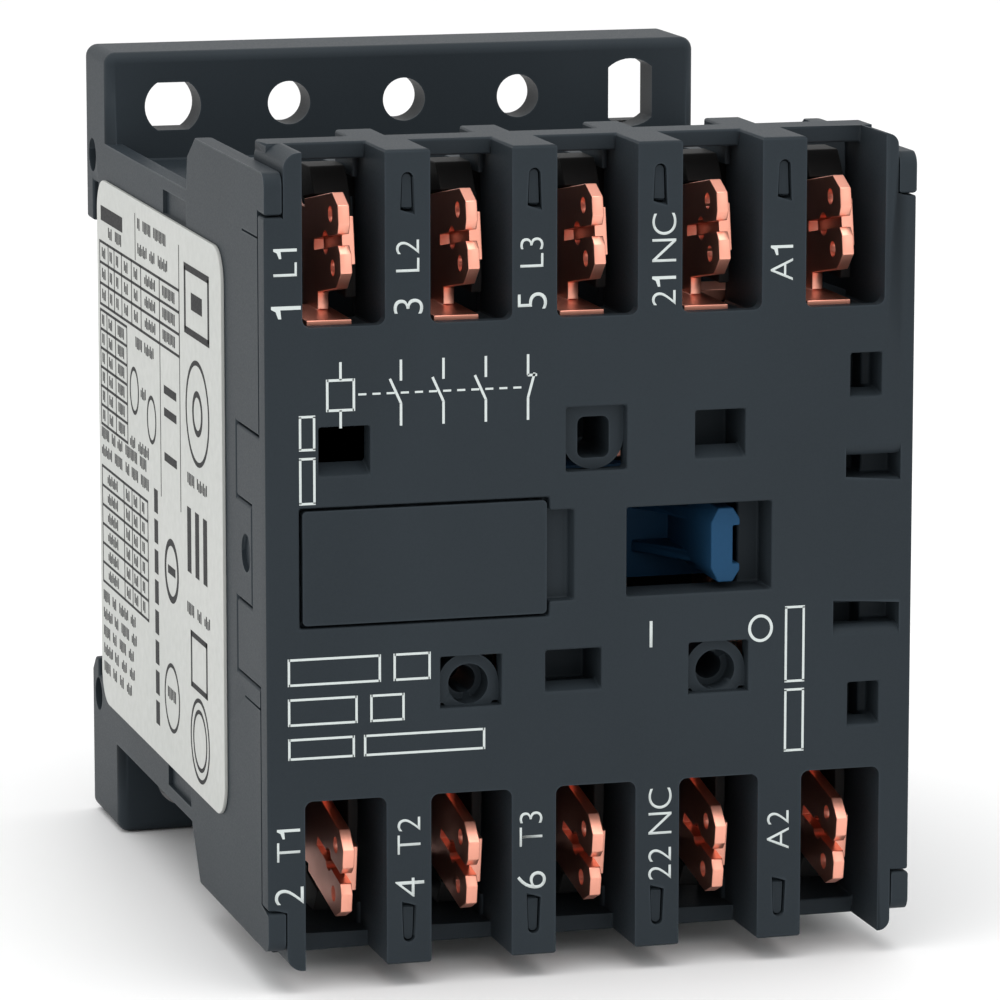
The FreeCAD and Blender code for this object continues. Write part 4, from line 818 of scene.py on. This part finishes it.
# A cell's word takes at least this share of the cell, and up to this much more.
CELL_SHARE = 0.5
CELL_SPREAD = 0.2
BLOCK_PACE = 0.46
BLOCK_SHARE = 0.62
BLOCK_RAISED = 0.12
BLOCK_SHORT = 0.72
MARKS_MIDDLE = 33.3


def down(depth):
    """The place v of something so far below the label's upper edge."""
    return LABEL_TALL - depth


def blocks(mesh, u, v, length, height):
    """A word of small blocks of uneven height, as unreadable as small print seen from afar."""
    count = max(1, int(length / BLOCK_PACE))
    for k in range(count):
        low = 0.0 if k % 3 else BLOCK_RAISED * height
        high = height if (k * k + count) % 4 else BLOCK_SHORT * height
        start = u + k * BLOCK_PACE
        bar(mesh, start, v + low, start + BLOCK_SHARE * BLOCK_PACE, v + high)


def block_words(mesh, u, v, lengths):
    """A line of block words."""
    for length in lengths:
        blocks(mesh, u, v, length, WORD_HEIGHT)
        u += length + WORD_SPACE


def table(mesh, u0, u1, v0, rows, pitch, columns):
    """A printed table from v0 downwards: row lines, column lines and a block word in each cell."""
    v1 = v0 - rows * pitch
    for row in range(rows + 1):
        v = v0 - row * pitch
        stroke(mesh, (u0, v), (u1, v), TABLE_LINE)
    edges = (u0,) + columns + (u1,)
    for u in edges:
        stroke(mesh, (u, v0 + TABLE_LINE / 2), (u, v1 - TABLE_LINE / 2), TABLE_LINE)
    for row in range(rows):
        v = v0 - (row + 0.5) * pitch - CELL_WORD_HEIGHT / 2
        for a, b in zip(edges, edges[1:]):
            unevenness = (row * 3 + int(a * 7)) % 3 / 2
            length = (b - a) * (CELL_SHARE + CELL_SPREAD * unevenness)
            blocks(mesh, (a + b - length) / 2, v, length, CELL_WORD_HEIGHT)


def frame_box(mesh, u0, u1, v0, v1, line, reach):
    """A printed box: level lines of full length, and upright ones that reach past them."""
    for v in (v0, v1):
        stroke(mesh, (u0, v), (u1, v), line)
    for u in (u0 + line / 2, u1 - line / 2):
        stroke(mesh, (u, v0 + reach), (u, v1 - reach), line)


def heading(mesh):
    """A plain block, an upright rule and lines of words across the top."""
    bar(mesh, 1.4, down(3.0), 9.0, down(1.9))
    block_words(mesh, 4.0, down(4.1), (1.8, 2.6))
    stroke(mesh, (13.4, down(1.0)), (13.4, down(4.4)), HAIRLINE)
    block_words(mesh, 14.2, down(2.1), (1.2, 3.0, 4.4))
    block_words(mesh, 14.2, down(3.9), (3.4, 2.2, 3.6))


def ratings(mesh):
    """The rating tables, two rings and the text round them."""
    table(mesh, MARGIN, TABLE_RIGHT, down(4.6), 3, 1.55, (3.9, 6.0, 8.6, 12.0, 15.2, INNER_RULE))
    table(mesh, MARGIN, 10.2, down(9.7), 6, 1.42, (3.2, 6.2))
    stroke(mesh, (TABLE_RIGHT, down(1.4)), (TABLE_RIGHT, down(20.2)), HAIRLINE)
    stroke(mesh, (INNER_RULE, down(9.2)), (INNER_RULE, down(20.2)), HAIRLINE)
    block_words(mesh, 13.2, down(10.8), (2.4, 3.6))
    for centre in ((12.6, down(14.0)), (18.4, down(15.2))):
        ring(mesh, centre, 1.55, 1.75, 0.3)
    block_words(mesh, 14.8, down(14.2), (1.9,))
    block_words(mesh, 11.0, down(18.3), (2.2, 4.0))
    for depth in (12.6, 14.2, 17.4):
        bar(mesh, 22.6, down(depth), 26.6, down(depth - 0.6))


def notes(mesh):
    """Lines of general text, the protection table and the text under it."""
    block_words(mesh, MARGIN, down(19.3), (3.0, 1.4, 2.2, 4.4, 2.4))
    block_words(mesh, MARGIN, down(20.6), (4.0, 3.2, 1.5, 2.6, 3.0))
    table(mesh, MARGIN, 16.8, down(21.4), 6, 1.45, (8.6, 11.4, 14.2))
    for row in range(5):
        lengths = (2.6 + 0.7 * (row % 2), 1.8, 3.4 - 0.4 * row, 2.0)
        block_words(mesh, MARGIN, down(31.6 + 1.35 * row), lengths)


def upright_band(mesh):
    """A line of text turned upright, as eight plain blocks."""
    pitch = 2.2
    tall = 1.7
    for k in range(8):
        high = down(20.0 + pitch * k)
        bar(mesh, 19.0, high - tall, 20.2, high)


def marks(mesh):
    """A column of plain boxes, rings and bars where approval marks would stand."""
    frame_box(mesh, 29.4, 37.2, down(2.6), down(7.0), line=0.5, reach=0.0)
    bar(mesh, 31.6, down(5.4), 35.0, down(4.2))
    ring(mesh, (MARKS_MIDDLE, down(12.4)), 3.7, 3.7, 0.35)
    ring(mesh, (MARKS_MIDDLE, down(12.4)), 1.6, 1.6, 0.45)
    block_words(mesh, 30.0, down(17.8), (2.4, 3.4))
    for k in range(3):
        u = 29.8 + 2.5 * k
        bar(mesh, u, down(24.0), u + 1.2, down(19.4))
    ring(mesh, (24.6, down(25.0)), 2.3, 2.3, 0.5)
    bar(mesh, 23.4, down(25.3), 25.8, down(24.7))
    block_words(mesh, 29.6, down(27.0), (2.6, 1.6, 2.0))
    frame_box(mesh, 30.6, 35.8, down(28.2), down(31.8), line=0.4, reach=0.2)
    ring(mesh, (24.4, down(34.2)), 2.5, 2.5, 0.3)
    for radius in (3.0, 2.2):
        ring(mesh, (MARKS_MIDDLE, down(35.4)), radius, radius, 0.3)
    block_words(mesh, 23.0, down(34.4), (2.8,))


def label_print():
    """Tables, block words and plain marks on the side label, on the left of the housing."""
    mesh = bmesh.new()
    for draw in (heading, ratings, notes, upright_band, marks):
        draw(mesh)
    for vert in mesh.verts:
        u, v, lift = vert.co
        vert.co = Vector((LEFT + PRINT_DEPTH - lift, LABEL_HIGH.y - u, LABEL_LOW.z + v))
    bmesh.ops.recalc_face_normals(mesh, faces=mesh.faces)
    new_piece("rating_label_print", mesh, "housing", BLACK_INK)


label_print()


# ------------------------------------------------------------------ studio
FLOOR_SIZE = 6.0
FLOOR_CELLS = 8
FLOOR_GAP = 0.05 * MM
WORLD_STRENGTH = 0.95
WHITE = (1.0, 1.0, 1.0, 1.0)
# The camera's place from the housing's middle, and the way it looks, in degrees. The label stands
# out on the left only, so the middle of the part's box is half its thickness off the housing's.
LABEL_SHIFT = Vector((0.125 * MM, 0, 0))
CAMERA_AWAY = Vector((-109.59, -397.58, 73.25)) * MM
CAMERA_YAW = -15.602
CAMERA_PITCH = -10.267
CAMERA_ROLL = 0.028
CAMERA_LENS = 211.19
SENSOR = 36.0
CLIP_NEAR = 0.02
CLIP_FAR = 20.0


def floor():
    """A large pale floor under the object."""
    mesh = bmesh.new()
    bmesh.ops.create_grid(mesh, x_segments=FLOOR_CELLS, y_segments=FLOOR_CELLS, size=FLOOR_SIZE / 2)
    plane = new_object("floor", mesh_data("floor", mesh), pale_floor("floor_paint"))
    plane.location = (CENTRE.x, CENTRE.y, LOW.z - FLOOR_GAP)


def softbox(name, azimuth, elevation, distance, size, power):
    """A white area light aimed at the object's middle; azimuth 0 is in front."""
    a = math.radians(azimuth)
    e = math.radians(elevation)
    away = Vector((math.sin(a) * math.cos(e), -math.cos(a) * math.cos(e), math.sin(e)))
    light = bpy.data.lights.new(name, "AREA")
    light.shape = "RECTANGLE"
    light.size, light.size_y = size
    light.energy = power
    lamp = bpy.data.objects.new(name, light)
    lamp.location = CENTRE + away * distance
    lamp.rotation_euler = away.to_track_quat("Z", "Y").to_euler()
    bpy.context.scene.collection.objects.link(lamp)


def world():
    """Even white surroundings."""
    sky = bpy.data.worlds.new("studio")
    sky.use_nodes = True
    background = sky.node_tree.nodes["Background"]
    background.inputs["Color"].default_value = WHITE
    background.inputs["Strength"].default_value = WORLD_STRENGTH
    bpy.context.scene.world = sky


def camera():
    """A long-lens camera in front, to the left and a little above."""
    data = bpy.data.cameras.new("camera")
    data.lens = CAMERA_LENS
    data.sensor_width = SENSOR
    data.clip_start = CLIP_NEAR
    data.clip_end = CLIP_FAR
    rig = bpy.data.objects.new("camera", data)
    rig.location = CENTRE + LABEL_SHIFT + CAMERA_AWAY
    turn_z = Matrix.Rotation(math.radians(CAMERA_YAW), 4, "Z")
    tilt = Matrix.Rotation(math.radians(90 + CAMERA_PITCH), 4, "X")
    roll = Matrix.Rotation(math.radians(CAMERA_ROLL), 4, "Z")
    rig.rotation_euler = (turn_z @ tilt @ roll).to_euler()
    bpy.context.scene.collection.objects.link(rig)
    bpy.context.scene.camera = rig


floor()
world()
softbox("top_light", azimuth=-10, elevation=78, distance=0.9, size=(0.9, 0.7), power=3.5)
softbox("left_light", azimuth=-70, elevation=30, distance=0.9, size=(0.6, 0.7), power=0.5)
softbox("front_light", azimuth=20, elevation=25, distance=1.1, size=(0.7, 0.6), power=0.8)
camera()
bpy.context.scene.view_settings.view_transform = "Standard"
